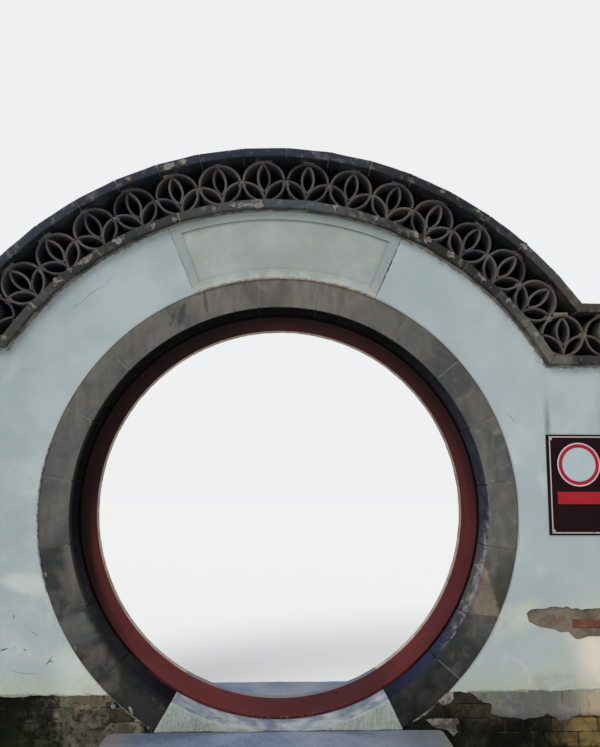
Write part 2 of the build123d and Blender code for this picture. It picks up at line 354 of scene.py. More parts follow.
plinth_finish, place = started("plinth_finish")
x, y, z = place.parts()
front = y.rise(0, -0.1)
blotch = place.grain(3.4, 5, 0.66)
patchy = place.grain(16, 5, 0.7)
fine = place.grain(60, 5, 0.7)
tone = tone_of(place)
crumbled = (patchy + fine * 0.4).rise(0.66, 1) * x.rise(0.6, -0.4)
tan_spot = abs(x + 1).rise(0.34, 0.12) * z.rise(0.04, 0.14) + patchy * 0.9 - 0.45
tan_spot = tan_spot.rise(0.35, 0.62) * front
tan_tone = (patchy + tone * 0.25).rise(0.35, 0.9).between((78, 75, 62), (132, 126, 108))
brown_brick = abs(x + 0.86).rise(0.085, 0.075) * abs(z - 0.254).rise(0.04, 0.034) * front
low_right = (0.25 - z).rise(0, 0.1) * x.within(0.6, 1, 1.35, 1.75)
wet = blotch + patchy * 0.35 - tan_spot * 0.22 + x.rise(-1.1, -1.4) * 0.16 + low_right * 0.1
wet = wet - x.rise(0.7, 1) * z.rise(0.2, 0.3) * 0.1
dusted = (patchy * 0.8 + fine * 0.3).rise(0.5, 0.68) * x.within(-1.47, -1.36, -1.26, -1.16)
# Painted sunlight: a warm ochre glow over the bricks at the right end.
plinth_sunlight = (patchy * 0.7 + fine * 0.2 + x.rise(1.4, 2) * 0.25).rise(0.42, 0.66)
plinth_sunlight = plinth_sunlight * x.rise(1.38, 1.72) * z.rise(0.3, 0.22) * y.rise(0.2, -0.1).at_least(0.35)
settled(plinth_finish, layered(
    tone.rise(0.3, 1).between((48, 46, 39), (70, 62, 50)),
    (crumbled, 1, (100, 96, 82)),
    (tan_spot, 0.85, tan_tone),
    (brown_brick, 0.8, (56, 46, 34)),
    ((place.grain(28, 5, 0.7) + blotch * 0.3).rise(0.66, 0.8), 0.8, (26, 27, 21)),
    (wet.rise(0.56, 0.8), 0.95, (15, 17, 12)),
    (dusted * front, 0.55, (74, 77, 64)),
    ((blotch + fine * 0.3 + (0.16 - z) * 0.8).rise(0.68, 0.86) * x.rise(-0.9, -1.6), 0.6, (34, 42, 20)),
    # Painted sunlight on the bricks at the right end.
    (plinth_sunlight, 0.85, (blotch * 0.7 + tone * 0.35).rise(0.35, 0.75).between((94, 82, 52), (160, 136, 80))),
    ((fine + patchy * 0.3).rise(0.8, 0.86) * x.rise(0.8, 1.1) * z.rise(0.1, 0.2), 0.7, (122, 120, 110)),
), 0.95, fine + patchy, 0.008, 0.05)
finished(worn(joined("plinth_bricks", bricks), 0.006, 0.035), plinth_finish, "plinth_brick")

sooty_tones = ((30, 30, 25), (84, 80, 66))
plinth_mortar = gritty(
    "plinth_mortar_finish", (60, 5, 0.7), (5, 4, 0.6), 0.3, (0.6, 0.9), sooty_tones, 0.006, 0.05
)
refinished(plinth_mortar, "footing_course", "plinth_left", "plinth_right")


def drawn(points, y, fill="NGON"):
    """A flat outline through points x, z, at a depth y."""
    bpy.ops.mesh.primitive_circle_add(vertices=len(points), radius=1, fill_type=fill)
    outline = bpy.context.object
    for corner, (px, pz) in zip(outline.data.vertices, points):
        corner.co = (px, y, pz)
    return outline


def slab(points, y, thickness, ripple=0.006, frayed=0.009):
    """A thin trowelled coat with a ragged outline, drawn on the front face."""
    coat = drawn(points, y)
    if frayed:
        edited(coat, (bpy.ops.mesh.subdivide, {"number_cuts": 6}))
        for corner in coat.data.vertices:
            spot = corner.co * 26
            corner.co.x += frayed * (noise.noise(spot) + 0.6 * noise.noise(spot * 3.1))
            corner.co.z += frayed * (noise.noise(spot + Vector((9, 0, 4))) + 0.6 * noise.noise(spot * 2.7))
    edited(coat, facing_out, pushed(0, -thickness, 0), facing_out)
    for axis, ends in zip((0, 2), zip(*points)):
        sliced(coat, axis, marks(min(ends), max(ends), 0.02))
    return worn(coat, ripple, 0.03)


mortar_y = -0.262
cement_right = slab([
    (1.06, 0.366), (1.108, 0.317), (1.187, 0.294), (1.178, 0.249), (1.225, 0.233),
    (1.344, 0.217), (1.464, 0.223), (1.504, 0.245), (1.567, 0.199), (1.688, 0.236),
    (1.799, 0.227), (1.93, 0.26), (2.02, 0.31), (2, 0.366),
], mortar_y, 0.014)
cement_left = slab([
    (-0.93, 0.366), (-0.925, 0.33), (-0.96, 0.322), (-0.985, 0.294), (-1.04, 0.3),
    (-1.075, 0.282), (-1.13, 0.298), (-1.17, 0.33), (-1.16, 0.366),
], mortar_y, 0.01)
skim_left = slab([
    (-1.217, 0.288), (-1.16, 0.297), (-1.105, 0.289), (-1.04, 0.292), (-0.985, 0.296), (-0.952, 0.287),
    (-0.948, 0.25), (-0.938, 0.218), (-0.89, 0.213), (-0.84, 0.216), (-0.802, 0.206), (-0.79, 0.186),
    (-0.812, 0.16), (-0.87, 0.172), (-0.925, 0.158), (-0.935, 0.11), (-0.955, 0.07), (-1.03, 0.052),
    (-1.1, 0.06), (-1.165, 0.046), (-1.205, 0.084), (-1.262, 0.122), (-1.222, 0.15), (-1.198, 0.21),
], mortar_y, 0.0115, 0.007, 0.013)


def ring_smear(turn_from, turn_to, widest, side):
    """Mortar trowelled against the outer edge of the ring, thin and ragged."""
    count = 14
    inner = []
    outer = []
    for step in range(count + 1):
        turn = math.radians(turn_from + (turn_to - turn_from) * step / count)
        width = widest * (0.25 + 0.75 * chance.random()) * math.sin(math.pi * (step + 0.6) / (count + 1.2))
        for edge, reach in ((inner, ring_radius - 0.001), (outer, ring_radius + 0.001 + width)):
            px, pz = on_circle(gate_middle, reach, -turn)
            edge.append((side * px, pz))
    return slab(inner + outer[::-1], mortar_y, 0.0125, 0.004, 0)


smears = [
    ring_smear(50, 57.5, 0.011, 1),
    slab([
        (0.946, 0.366), (0.919, 0.345), (0.883, 0.313), (0.898, 0.294), (0.926, 0.289),
        (0.952, 0.304), (0.97, 0.328), (0.968, 0.364),
    ], mortar_y, 0.013, 0.006, 0.004),
    ring_smear(46.4, 58.5, 0.006, -1),
]
# Loose bits of mortar: outline, depth, thickness and how ragged
for points, y, thickness, frayed in (
    ([(-0.93, 0.306), (-0.922, 0.292), (-0.906, 0.29), (-0.901, 0.303), (-0.912, 0.315)],
     mortar_y, 0.0135, 0.003),
    ([(-0.836, 0.3), (-0.822, 0.303), (-0.806, 0.274), (-0.806, 0.252), (-0.82, 0.262)],
     -0.271, 0.0065, 0.003),
    ([(-0.8, 0.229), (-0.784, 0.234), (-0.774, 0.226), (-0.79, 0.221)], mortar_y, 0.0125, 0.002),
    ([(-0.733, 0.191), (-0.716, 0.195), (-0.708, 0.184), (-0.725, 0.18)], mortar_y, 0.0125, 0.002),
    ([(-1.321, 1.032), (-1.312, 1.03), (-1.306, 1.002), (-1.318, 1.004)], -0.271, 0.0065, 0.002),
    ([(-1.141, 0.623), (-1.128, 0.622), (-1.121, 0.608), (-1.136, 0.606)], -0.271, 0.0065, 0.002),
):
    smears.append(slab(points, y, thickness, 0.003, frayed))
smears.append(slab([
    (0.812, 0.212), (0.86, 0.222), (0.99, 0.219), (1, 0.196), (0.982, 0.18),
    (0.99, 0.15), (0.962, 0.128), (0.94, 0.155), (0.89, 0.166), (0.845, 0.178),
], mortar_y, 0.011, 0.006, 0.006))
chalky_tones = ((70, 68, 62), (138, 136, 128))
smear_finish = gritty(
    "smear_finish", (70, 5, 0.7), (12, 4, 0.6), 0.4, (0.55, 0.8), chalky_tones, 0.004
)
finished(joined("ring_mortar_smears", smears), smear_finish, "mortar")

cement_finish, place = started("plinth_cement_finish")
x, y, z = place.parts()
fine = place.grain(70, 5, 0.7)
blotch = place.grain(9, 5, 0.6)
streak = place.grain((60, 60, 9), 4, 0.6)
foot_dark = (z + blotch * 0.08 + x.rise(1.15, 1.35) * 0.03).rise(0.335, 0.285)
settled(cement_finish, layered(
    x.rise(0, 0.5).between((98, 86, 68), (112, 111, 104)),
    ((blotch + streak * 0.4).rise(0.66, 1) * x.rise(0, 0.5), 0.8, (90, 95, 101)),
    ((place.grain(20, 5, 0.7) + streak * 0.3).rise(0.62, 0.8), 0.6, (134, 132, 122)),
    (x.within(1.25, 1.35, 1.5, 1.62), 0.35, (80, 80, 76)),
    # Painted sunlight: the right end of the cement coat paler and warmer.
    (x.rise(1.6, 1.78) * y.rise(0, -0.1), 0.8, (184, 166, 136)),
    ((blotch * 0.5 + streak).rise(0.7, 0.46), 0.7, (50, 50, 47)),
    (foot_dark, 0.5, (64, 62, 56)),
), 0.92, fine + streak, 0.004)
finished(named(cement_right, "plinth_cement_right"), cement_finish, "mortar")
finished(named(cement_left, "plinth_cement_left"), cement_finish, "mortar")
finished(named(skim_left, "plinth_skim_left"), plinth_finish, "mortar")


# Steps. One block of blue-grey granite on the ground before each face, tooled rough, its upper
# edges worn round by feet.
def stone_copy(name, nodes, bevel, grid, depth, lump):
    """A worn copy of nodes: their edges eased, their faces cut finely and roughened."""
    stones = []
    for node in nodes:
        stone = copied(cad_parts[node])
        stone.parent = None
        edited(
            stone,
            (bpy.ops.mesh.remove_doubles, {"threshold": 0.00005}),
            (bpy.ops.mesh.customdata_custom_splitnormals_clear, {}),
            (bpy.ops.mesh.dissolve_limited, {"angle_limit": math.radians(0.6)}),
            (bpy.ops.mesh.separate, {"type": "LOOSE"}),
        )
        for part in list(bpy.context.selected_objects):
            stones.append(shaded(part, chance.random()))
    whole = joined(name, stones)
    if bevel:
        bevelled(whole, bevel, 2, limit_method="ANGLE", angle_limit=math.radians(40))
    for axis in range(3):
        spread = [corner.co[axis] for corner in whole.data.vertices]
        start, end = min(spread), max(spread)
        count = int((end - start) / grid)
        sliced(whole, axis, [start + (end - start) * i / (count + 1) for i in range(1, count + 1)])
    return smoothed(worn(whole, depth, lump), 32)


def smoothed(piece, angle):
    """Shades a piece smooth, but for edges sharper than an angle in degrees."""
    only(piece)
    bpy.ops.object.shade_smooth_by_angle(angle=math.radians(angle))
    return piece


granite_finish, place = started("granite_finish")
x, y, z = place.parts()
speck = place.grain(170, 3, 0.6)
cloud = place.grain(5, 4, 0.55)
settled(granite_finish, layered(
    cloud.rise(0.3, 0.7).between((76, 90, 114), (100, 116, 140)),
    (place.grain(2.2, 3, 0.5).rise(0.5, 0.72), 0.5, (132, 132, 134)),
    ((abs(x + 0.02) + cloud * 0.12).rise(0.78, 0.95), 0.85, (118, 114, 108)),
    (speck.rise(0.45, 0.68), 0.5, (146, 150, 158)),
    (speck.rise(0.4, 0.3), 0.6, (56, 60, 72)),
    ((z + cloud * 0.05).rise(0.06, 0.02), 0.7, (52, 50, 44)),
), 0.78, speck, 0.002, 0.25)
steps = stone_copy("granite_steps", ("front_step", "rear_step"), 0, 0.05, 0.005, 0.12)
step_middle, step_half, corner_round = (-0.02, 0.435), (0.925, 0.16), 0.036
insets = (0.004, 0.012, 0.023, 0.036)
sliced(steps, 0, [step_middle[0] + side * (step_half[0] - inset) for side in (-1, 1) for inset in insets])
for face in (-1, 1):
    near = [face * step_middle[1] + side * (step_half[1] - inset) for side in (-1, 1) for inset in insets]
    sliced(steps, 1, near)
for corner in steps.data.vertices:
    x, y, z = corner.co
    past_x = abs(x - step_middle[0]) - step_half[0] + corner_round
    past_y = abs(abs(y) - step_middle[1]) - step_half[1] + corner_round
    if past_x > 0 and past_y > 0 and math.hypot(past_x, past_y) > corner_round:
        drawn_in = 1 - corner_round / math.hypot(past_x, past_y)
        x -= math.copysign(past_x * drawn_in, x - step_middle[0])
        y -= math.copysign(past_y * drawn_in, (abs(y) - step_middle[1]) * y)
    corner.co = (x, y, max(z, 0))
edited(steps, (bpy.ops.mesh.dissolve_degenerate, {"threshold": 0.0002}))
finished(steps, granite_finish, "granite", "front_step", "rear_step")


# Sill. A block of pale granite at the foot of the ring on each face, dressed with a chisel in
# upright strokes, and the granite bed that joins the two under the painted lining.
sill_finish, place = started("sill_finish")
x, y, z = place.parts()
strokes = place.grain((95, 20, 9), 3, 0.5)
speck = place.grain(190, 3, 0.6)
cloud = place.grain(6, 4, 0.6)
coarse = place.grain(75, 4, 0.7)
radius = x.hypot(z - gate_z)
pale = (strokes * 0.3 + coarse * 0.4 + cloud * 0.3).rise(0.36, 0.62)
pale = pale.between((140, 145, 136), (182, 187, 176))
pale = layered(pale, (coarse.rise(0.4, 0.32), 0.45, (100, 100, 90)))
tread = layered(
    (cloud * 0.4 + speck * 0.6).rise(0.36, 0.66).between((80, 93, 116), (98, 106, 124)),
    (coarse.rise(0.55, 0.75), 0.25, (150, 154, 162)),
    (speck.rise(0.42, 0.34), 0.4, (84, 84, 92)),
    ((radius + coarse * 0.016).rise(1.203, 1.196) * cloud.rise(0.35, 0.6), 0.7, (118, 106, 100)),
)
joint_dirt = (z + speck * 0.006 + (cloud - 0.5) * 0.02).rise(0.1715, 0.1665) * abs(y).rise(0.268, 0.272)
settled(sill_finish, layered(
    pale,
    ((radius + cloud * 0.02).rise(1.222, 1.206), 0.92, tread),
    # Painted highlight: a pale line along the arris at the edge of the tread.
    (abs(radius - 1.212 + cloud * 0.012).rise(0.008, 0.002) * (0.35 + cloud * 0.5), 1, (180, 184, 184)),
    ((cloud + (0.22 - z)).rise(0.6, 0.8), 0.4, (104, 102, 90)),
    (joint_dirt, 0.85, (34, 32, 28)),
), 0.82, strokes * 0.6 + speck * 0.4, 0.003, 0.1)
sills = stone_copy("granite_sills", ("front_sill", "rear_sill"), 0.005, 0.03, 0.004, 0.05)


def leaned_joints(piece):
    """Leans the three lowest joints on the front's right, which don't point at the ring's middle."""
    for corner in piece.data.vertices:
        x, y, z = corner.co
        reach = math.hypot(x, z - gate_z)
        turn = math.degrees(math.atan2(z - gate_z, x))
        outward = min(1, max(0, (reach - 1.2) / 0.175))
        for joint, at_inside, at_outside in ((-25.5, 2.75, 0.06), (-42.4, 0.6, 0.3), (-59, 0.8, 1.4)):
            close = max(0, 1 - abs(turn - joint) / 8)
            turn -= close * close * (3 - 2 * close) * (at_inside + (at_outside - at_inside) * outward)
        if y < 0:
            x, z = on_circle(gate_middle, reach, math.radians(turn))
            corner.co = (x, y, max(0, z))
    return piece


finished(leaned_joints(sills), sill_finish, "granite", "front_sill", "rear_sill")
refinished(sill_finish, "sill_bed")


# Ring. Nineteen grey stones on each face, rubbed smooth and set close in lime mortar. They are
# sooty towards the ground and weathered brown by the top joints.
ring_finish, place = started("ring_finish")
x, y, z = place.parts()
front = y.rise(0, -0.1)
rise_z = z - gate_z
radius = x.hypot(rise_z)
turn = rise_z.arctan2(x) * math.degrees(1)
tone = tone_of(place)
grit = place.grain(120, 4, 0.65)
cloud = place.grain(4.5, 5, 0.6, 0.6)
patchy = place.grain(14, 5, 0.65)
chewed = place.grain(75, 3, 0.7)
light = ((rise_z + 1.25 + cloud * 0.3) / 2.85).ramp(
    (0, (36, 37, 36)), (0.12, (42, 43, 42)), (0.28, (68, 68, 67)), (0.45, (94, 94, 90)),
    (0.62, (95, 96, 93)), (0.85, (102, 100, 96)), (1, (122, 118, 111)),
)
dull_stone = turn.within(-171.4, -171.2, -154.4, -154.2) * front
sooty = rise_z.rise(-0.4, -1) * (1 - x.rise(0.6, 0.8) * turn.rise(-43.4, -42.8) * 0.5)
streaky = place.grain((30, 30, 5), 4, 0.6)
bruise = 0
for at_turn, at_radius, tilt, long, wide, strength in (
    (117.3, 1.293, 33.5, 0.053, 1, 0.8),
    (119.8, 1.3, 43, 0.036, 0.75, 0.5),
    (110.3, 1.305, 9.2, 0.07, 0.5, 0.6),
):
    aside = (turn - at_turn + (radius - at_radius) * tilt) / wide
    along = (radius - at_radius) / long
    mark = aside * aside + along * along + (patchy - 0.5) * 1.2 + (chewed - 0.5) * 3
    bruise = bruise + mark.rise(1.3, 0.8) * front * strength
cream = (patchy - cloud * 0.3).rise(0.4, 0.54) * x.rise(0.9, 1.25) * rise_z.rise(-0.6, -0.2)
foot_tone = patchy.rise(0.3, 0.7).between((34, 35, 32), (54, 55, 51))
olive = turn.within(-27, -26, -16, -8) * (radius + patchy * 0.04).rise(1.28, 1.32)
panel = (turn + 15) * -0.0165 + 1.21 - radius + (patchy - 0.5) * 0.07
panel = panel.rise(-0.012, 0.018) * (turn - (radius - 1.34) * 15.4).rise(-26.25, -26.05)
panel_tone = (patchy * 0.7 + grit * 0.3).rise(0.35, 0.65).between((112, 98, 86), (142, 128, 112))
inner = (radius + cloud * 0.09 + patchy * 0.04).rise(1.345, 1.27) * rise_z.rise(-0.3, -0.7)
inner_right = (radius + patchy * 0.05).rise(1.27, 1.22) * x.rise(0.3, 0.8) * rise_z.rise(-0.1, -0.5)
lit = turn.within(-153.8, -153, -149, -143) * (radius + patchy * 0.05).rise(1.23, 1.27)
face = layered(
    light,
    (tone, 0.5, tone.rise(0, 1).between((70, 72, 72), (104, 101, 96))),
    (x.rise(0.3, 0.9) * rise_z.rise(0.2, 0.7), 0.35, (76, 77, 76)),
    # Painted shade on the stones low on the left.
    (x.rise(-0.9, -1.2) * rise_z.within(-0.75, -0.5, -0.3, -0.1), 0.6, (56, 57, 56)),
    (dull_stone * (radius + patchy * 0.06).rise(1.25, 1.29), 0.85, (54, 56, 58)),
    (dull_stone * (radius + patchy * 0.06).rise(1.29, 1.25), 0.5, (108, 96, 88)),
    (turn.within(16, 30, 44, 54), 0.45, (60, 63, 65)),
    (sooty, 0.75, (38, 39, 38)),
    ((cloud + patchy * 0.35).rise(0.62, 0.82), 0.35, (126, 122, 114)),
    ((cloud - patchy * 0.2).rise(0.36, 0.26), 0.3, (58, 58, 56)),
    ((streaky + grit * 0.3).rise(0.56, 0.8), 0.25, (62, 62, 58)),
    (x.rise(0.3, 0.7) * turn.rise(-42.6, -43.6), 0.85, foot_tone),
    ((patchy + rise_z * 0.1).rise(0.66, 0.76) * rise_z.rise(0.7, 1.1), 0.3, (112, 94, 80)),
    (bruise, 1, turn.rise(113, 112).between((66, 67, 64), (76, 66, 60))),
    (cream, 0.35, (146, 140, 122)),
    (olive * front, 0.6, (58, 56, 46)),
    (panel * x.rise(0.5, 0.7) * front, 0.8, panel_tone),
    (inner * x.rise(0.9, -0.3), 0.9, (27, 28, 31)),
    (lit * x.rise(0, -0.5) * front * (0.2 + patchy * 0.6), 1, (104, 106, 104)),
    (inner_right, 0.5, (52, 52, 56)),
    (grit.rise(0.68, 0.76), 0.35, (140, 136, 128)),
)
# The reveal is painted near-black, partly grime and partly painted shade of the deep recess. Its colour
# changes round the opening, and it is paler and bluer on the right.
right_reveal_colour = layered(
    patchy.rise(0.4, 0.6).between((50, 53, 62), (64, 67, 76)),
    (rise_z.within(-0.75, -0.5, -0.3, -0.05), 0.8, (86, 84, 85)),
    ((rise_z + y.rise(-0.19, -0.26) * 0.22).rise(-0.6, -0.85), 0.9, (56, 61, 90)),
)
flaking = place.grain(26, 6, 0.8) * 0.8 + patchy * 0.2 + y.rise(-0.12, -0.26) * 0.14
flaking = (flaking + abs(rise_z + 0.42).rise(0.35, 0.1) * 0.08).rise(0.61, 0.71)
flaking = flaking * x.rise(0.7, 0.95) * rise_z.within(-0.82, -0.66, -0.2, 0.1)
streaks = place.grain((34, 60, 7), 4, 0.7).rise(0.6, 0.68) * x.rise(-0.7, -0.9)
streaks = streaks * y.within(-0.24, -0.2, -0.16, -0.12) * rise_z.rise(-0.1, -0.35)
# Painted highlight along the front arris of the reveal on the left.
left_arris_highlight = y.rise(-0.21, -0.265) * x.rise(0, -0.9) * rise_z.within(-0.75, -0.4, 0, 1.1)
reveal = layered(
    # Near-black reveal: grime and painted shade.
    patchy.rise(0.3, 0.7).between((16, 15, 17), (23, 22, 24)),
    (x.rise(0.4, 1.1) * rise_z.rise(1.3, 0.1), 1, right_reveal_colour),
    (x.rise(-0.6, -0.9) * rise_z.rise(0, -0.5), 0.9, (37, 37, 40)),
    # Painted highlight on the left arris.
    (left_arris_highlight, 0.7, (62, 62, 62)),
    (streaks, 0.5, (118, 117, 124)),
    (flaking, 0.65, patchy.rise(0.35, 0.65).between((120, 116, 120), (176, 168, 162))),
    # The rear rim: bare unpainted stone, made paler by painted sunlight falling on it from behind.
    (y.rise(-0.05, 0), 1, patchy.rise(0.35, 0.65).between((150, 136, 120), (186, 168, 152))),
)
inside = radius.rise(1.2045, 1.2005)
settled(ring_finish, inside.between(face, reveal), 0.92, grit + cloud * 0.5, 0.003, 0)
for side in ("front", "rear"):
    nodes = [f"{side}_ring_{part}" for part in ("left", "right", "top")]
    ring = stone_copy(f"{side}_ring_stones", nodes, 0.004, 0.035, 0.0045, 0.04)
    if side == "front":
        leaned_joints(ring)
    finished(ring, ring_finish, "ring_stone", *nodes)


def spun(inner, outer, y0, y1, turn_from, turn_to, steps=160, middle=gate_middle):
    """A band turned about an axis through the wall, the doorway's unless another is given."""
    bpy.ops.mesh.primitive_plane_add(size=1)
    band = bpy.context.object
    section = [(inner, y0), (outer, y0), (inner, y1), (outer, y1)]
    for corner, (reach, y) in zip(band.data.vertices, section):
        x, z = on_circle(middle, reach, math.radians(turn_from))
        corner.co = (x, y, z)
    sweep = math.radians(turn_to - turn_from)
    turning = {"steps": steps, "angle": sweep, "center": (middle[0], 0, middle[1]), "axis": (0, 1, 0)}
    return edited(
        band,
        (bpy.ops.mesh.spin, turning),
        (bpy.ops.mesh.remove_doubles, {"threshold": 0.0001}),
        (bpy.ops.mesh.fill_holes, {"sides": 4}),
        facing_out,
    )


joint_finish, place = started("ring_mortar_finish")
x, y, z = place.parts()
rise_z = z - gate_z
inner_edge = x.hypot(rise_z).rise(1.215, 1.206)
grit = place.grain(90, 4, 0.6)
settled(joint_finish, layered(
    (rise_z + grit * 0.4).rise(-0.7, 0.7).between((58, 57, 54), (124, 120, 112)),
    (grit.rise(0.55, 0.35), 0.6, (62, 60, 56)),
    ((x.rise(0.4, 0.8) + x.rise(-0.9, -1.2)) * rise_z.rise(-0.4, -0.7), 0.5, (128, 124, 116)),
    # Where the band shows in the reveal: near-black at the front, partly grime and partly painted shade,
    # and pale at the rear, as bare stone in painted sunlight.
    (inner_edge * y.rise(0, -0.05), 0.95, (15, 14, 16)),
    (y.rise(0, 0.05) * inner_edge, 1, (150, 138, 122)),
), 0.95, grit, 0.003, 0)
for side, inner, y0, y1 in (("front", 1.203, -0.2695, -0.103), ("rear", 1.191, 0.217, 0.2695)):
    band = named(spun(inner, 1.372, y0, y1, -62, 242), f"{side}_ring_mortar")
    finished(band, joint_finish, "mortar")


# Lining. The round passage between the two rings is rendered and painted dark red. The paint
# is thick, and chipped where it meets the granite. Painted shade darkens it at the top, more on
# the left, and along its front edge behind the front ring.
paint_finish, place = started("red_paint_finish")
x, y, z = place.parts()
rise_z = z - gate_z
brush = place.grain((6, 40, 6), 4, 0.6)
cloud = place.grain(2.2, 4, 0.6)
fine = place.grain(60, 4, 0.65)
# Painted shade: the upper lining darkened, reaching lower on the left and strongest near the front.
deep = y.rise(0.16, -0.06)
lining_shade_left = rise_z.rise(deep * -0.55 - 0.45, 0.3 - deep * 0.65) * (0.86 + deep * 0.09)
lining_shade_right = rise_z.rise(deep * -1.1, 1) * (0.62 + deep * 0.28)
lining_shade = lining_shade_right + (lining_shade_left - lining_shade_right) * x.rise(0.3, -0.7)
chip = fine - rise_z.rise(-1.12, -1.185) * 0.1 - y.rise(-0.05, -0.1) * 0.1
settled(paint_finish, layered(
    (cloud + brush * 0.25).rise(0.5, 0.85).between((88, 42, 43), (106, 51, 51)),
    # Painted shade over the upper lining, darkest on the left.
    (lining_shade, 1, x.rise(-0.5, 0.2).between((14, 8, 10), (27, 18, 19))),
    (rise_z.rise(-0.9, -1.08) * x.rise(-0.4, 0.1), 0.55, (48, 30, 31)),
    # Painted shade along the front edge of the lining, behind the front ring.
    (y.rise(-0.085, -0.1) * rise_z.rise(-1.1, -0.8), 0.9, (20, 12, 14)),
    (chip.rise(0.24, 0.21), 0.7, (104, 88, 80)),
    ((fine + cloud * 0.4).rise(0.86, 0.95), 0.25, (110, 60, 58)),
), brush.rise(0.3, 0.8) * 0.1 + 0.68, brush + cloud, 0.001, 0.008)
refinished(paint_finish, "red_lining")


# Wall. Brickwork under a coat of lime plaster, limewashed many times. It is painted the cool grey
# that the limewash shows in shade, with painted sunlight low at the left and the right. It is
# stained yellow at the foot, and cracked in a few places.
face_y = 0.275
arch_x, arch_z, arch_radius = -0.025, 1.32, 1.838
plaster_finish, place = started("plaster_finish")
x, y, z = place.parts()
front = y.rise(0, -0.1)
rise_z = z - gate_z
radius = x.hypot(rise_z)
cloud = place.grain(1.6, 4, 0.55)
patchy = place.grain(7, 5, 0.65)
fine = place.grain(55, 5, 0.7)
runs = place.grain((17, 17, 1.6), 5, 0.65)
ragged = place.grain(24, 5, 0.75, 0.8)
# Painted sunlight: a warm patch of sun low on the right of the wall.
painted_sunlight = (x - 0.5 + z * 0.3 + (cloud - 0.5) * 0.2).rise(1.26, 1.46) * z.rise(0.8, 0.6)
# Painted sunlight: a pale patch of sun low on the left.
painted_sunlight_left = (x + (cloud - 0.5) * 0.15).rise(-1.34, -1.1) * x.rise(0, -0.5) * z.rise(0.68, 0.52)
lower_edge = z - 0.985 + (patchy - 0.5) * 0.1 + (cloud - 0.5) * 0.2
from_smear = (x + 1.42) * (x + 1.42) + lower_edge * lower_edge * 6 + (patchy - 0.5) * 0.02
chalky = (place.grain(3.4, 3, 0.5, 0.3) + patchy * 0.15).rise(0.66, 0.76) * abs(x).rise(0.9, 1.25)
shoulder = x.rise(-0.01, 0.01) * -0.07 + 2.295
below = (arch_radius - (x - arch_x).hypot(z - arch_z)).at_least(shoulder - z)
drips = (runs - below * 3.6).rise(0.4, 0.58) * below.rise(0.2, 0)
above_sign = z.within(1.8, 1.83, 1.86, 2.12) * front
streaks = abs(x - 1.566).rise(0.03, 0) + abs(x - 1.86).rise(0.07, 0) * 0.6
crumb = abs(ragged - 0.5).rise(0.016, 0.006) * below.rise(0.055, 0.015) * patchy.rise(0.4, 0.55)
ring_rim = (radius - patchy * 0.03 + fine * 0.008).rise(1.378, 1.362) * radius.rise(1.2, 1.3)
off_x = x + (patchy - 0.5) * 0.5 - 1.35
halo = off_x.hypot((z + (cloud - 0.5) * 0.5 - 0.74) * 1.5).rise(0.16, 0.03)
foot = z - patchy * 0.05 + runs * 0.02
scrawl = abs(place.grain(26, 3, 0.6, 1.2) - 0.5).rise(0.012, 0.004) * z.rise(0.56, 0.4)
mossy = (patchy + fine * 0.3).rise(0.5, 0.8) * z.rise(0.49, 0.42) * x.within(1.4, 1.48, 1.62, 1.72)
settled(plaster_finish, layered(
    # Painted shade: the limewash coloured the cool grey it shows in shade. Painted light makes it a little
    # lighter towards the foot.
    (x * 0.12 + cloud).rise(0.1, 0.9).between((154, 166, 167), (168, 179, 179)),
    (z.rise(0.8, 0.4), 0.6, (170, 178, 174)),
    # Painted sunlight: the lower right of the wall lighter and warmer.
    (z.rise(1.7, 0.6) * x.rise(1.3, 2.1) * z.rise(1.05, 0.75), 1, (186, 186, 174)),
    ((cloud * 0.6 + patchy * 0.5).rise(0.54, 0.7) * z.rise(2, 1.4), 0.5, (186, 188, 182)),
    # Painted sunlight low on the right.
    (painted_sunlight * front * x.rise(2.4, 2), 0.8, (226, 216, 198)),
    # Painted sunlight low on the left.
    (painted_sunlight_left * front, 0.8, (206, 209, 200)),
    (from_smear.rise(0.03, 0.002), 0.65, (208, 208, 198)),
    (chalky * z.rise(2.4, 2), 0.45, (196, 196, 190)),
    ((cloud + patchy * 0.4).rise(0.6, 0.9), 0.4, (186, 195, 194)),
    ((patchy + fine * 0.3).rise(0.52, 0.36), 0.3, (140, 149, 147)),
    (drips, 0.22, (116, 118, 110)),
    (streaks * above_sign * (0.3 + runs).rise(0.6, 0.9), 0.6, (104, 108, 104)),
    # Dirt and painted shadow: a dark ragged line on the plaster just under the coping.
    ((below + (ragged - 0.5) * 0.07 + (patchy - 0.5) * 0.035).rise(0.01, 0.003), 0.7, (92, 89, 79)),
    (crumb, 0.6, (110, 106, 92)),
    (ring_rim, 0.5, x.rise(-0.6, -1.1).between((100, 100, 95), (170, 164, 146))),
    (halo, 0.7, (196, 194, 178)),
    (foot.rise(0.5, 0.37) * (0.5 + patchy).rise(0.75, 1.1), 0.5, (176, 176, 150)),
    ((foot + (fine - 0.5) * 0.02).rise(0.36, 0.35), 0.6, (108, 106, 84)),
    (scrawl * cloud.rise(0.45, 0.6), 0.5, (112, 112, 98)),
    (mossy, 0.6, (132, 137, 118)),
    ((fine + patchy * 0.25).rise(0.86, 0.93), 0.4, (118, 118, 108)),
), 0.92, fine * 0.3 + patchy, 0.006)
refinished(plaster_finish, "wall_left_upper", "wall_left_lower", "wall_right_upper", "wall_right_lower")
refinished(plaster_finish, "arch_wall_left", "arch_wall_top", "arch_wall_right")


def started_block(low, high):
    """A block between two corners, with its place already in its mesh."""
    middle = [(a + b) / 2 for a, b in zip(low, high)]
    size = [b - a for a, b in zip(low, high)]
    bpy.ops.mesh.primitive_cube_add(size=1, location=middle, scale=size)
    bpy.ops.object.transform_apply()
    return bpy.context.object


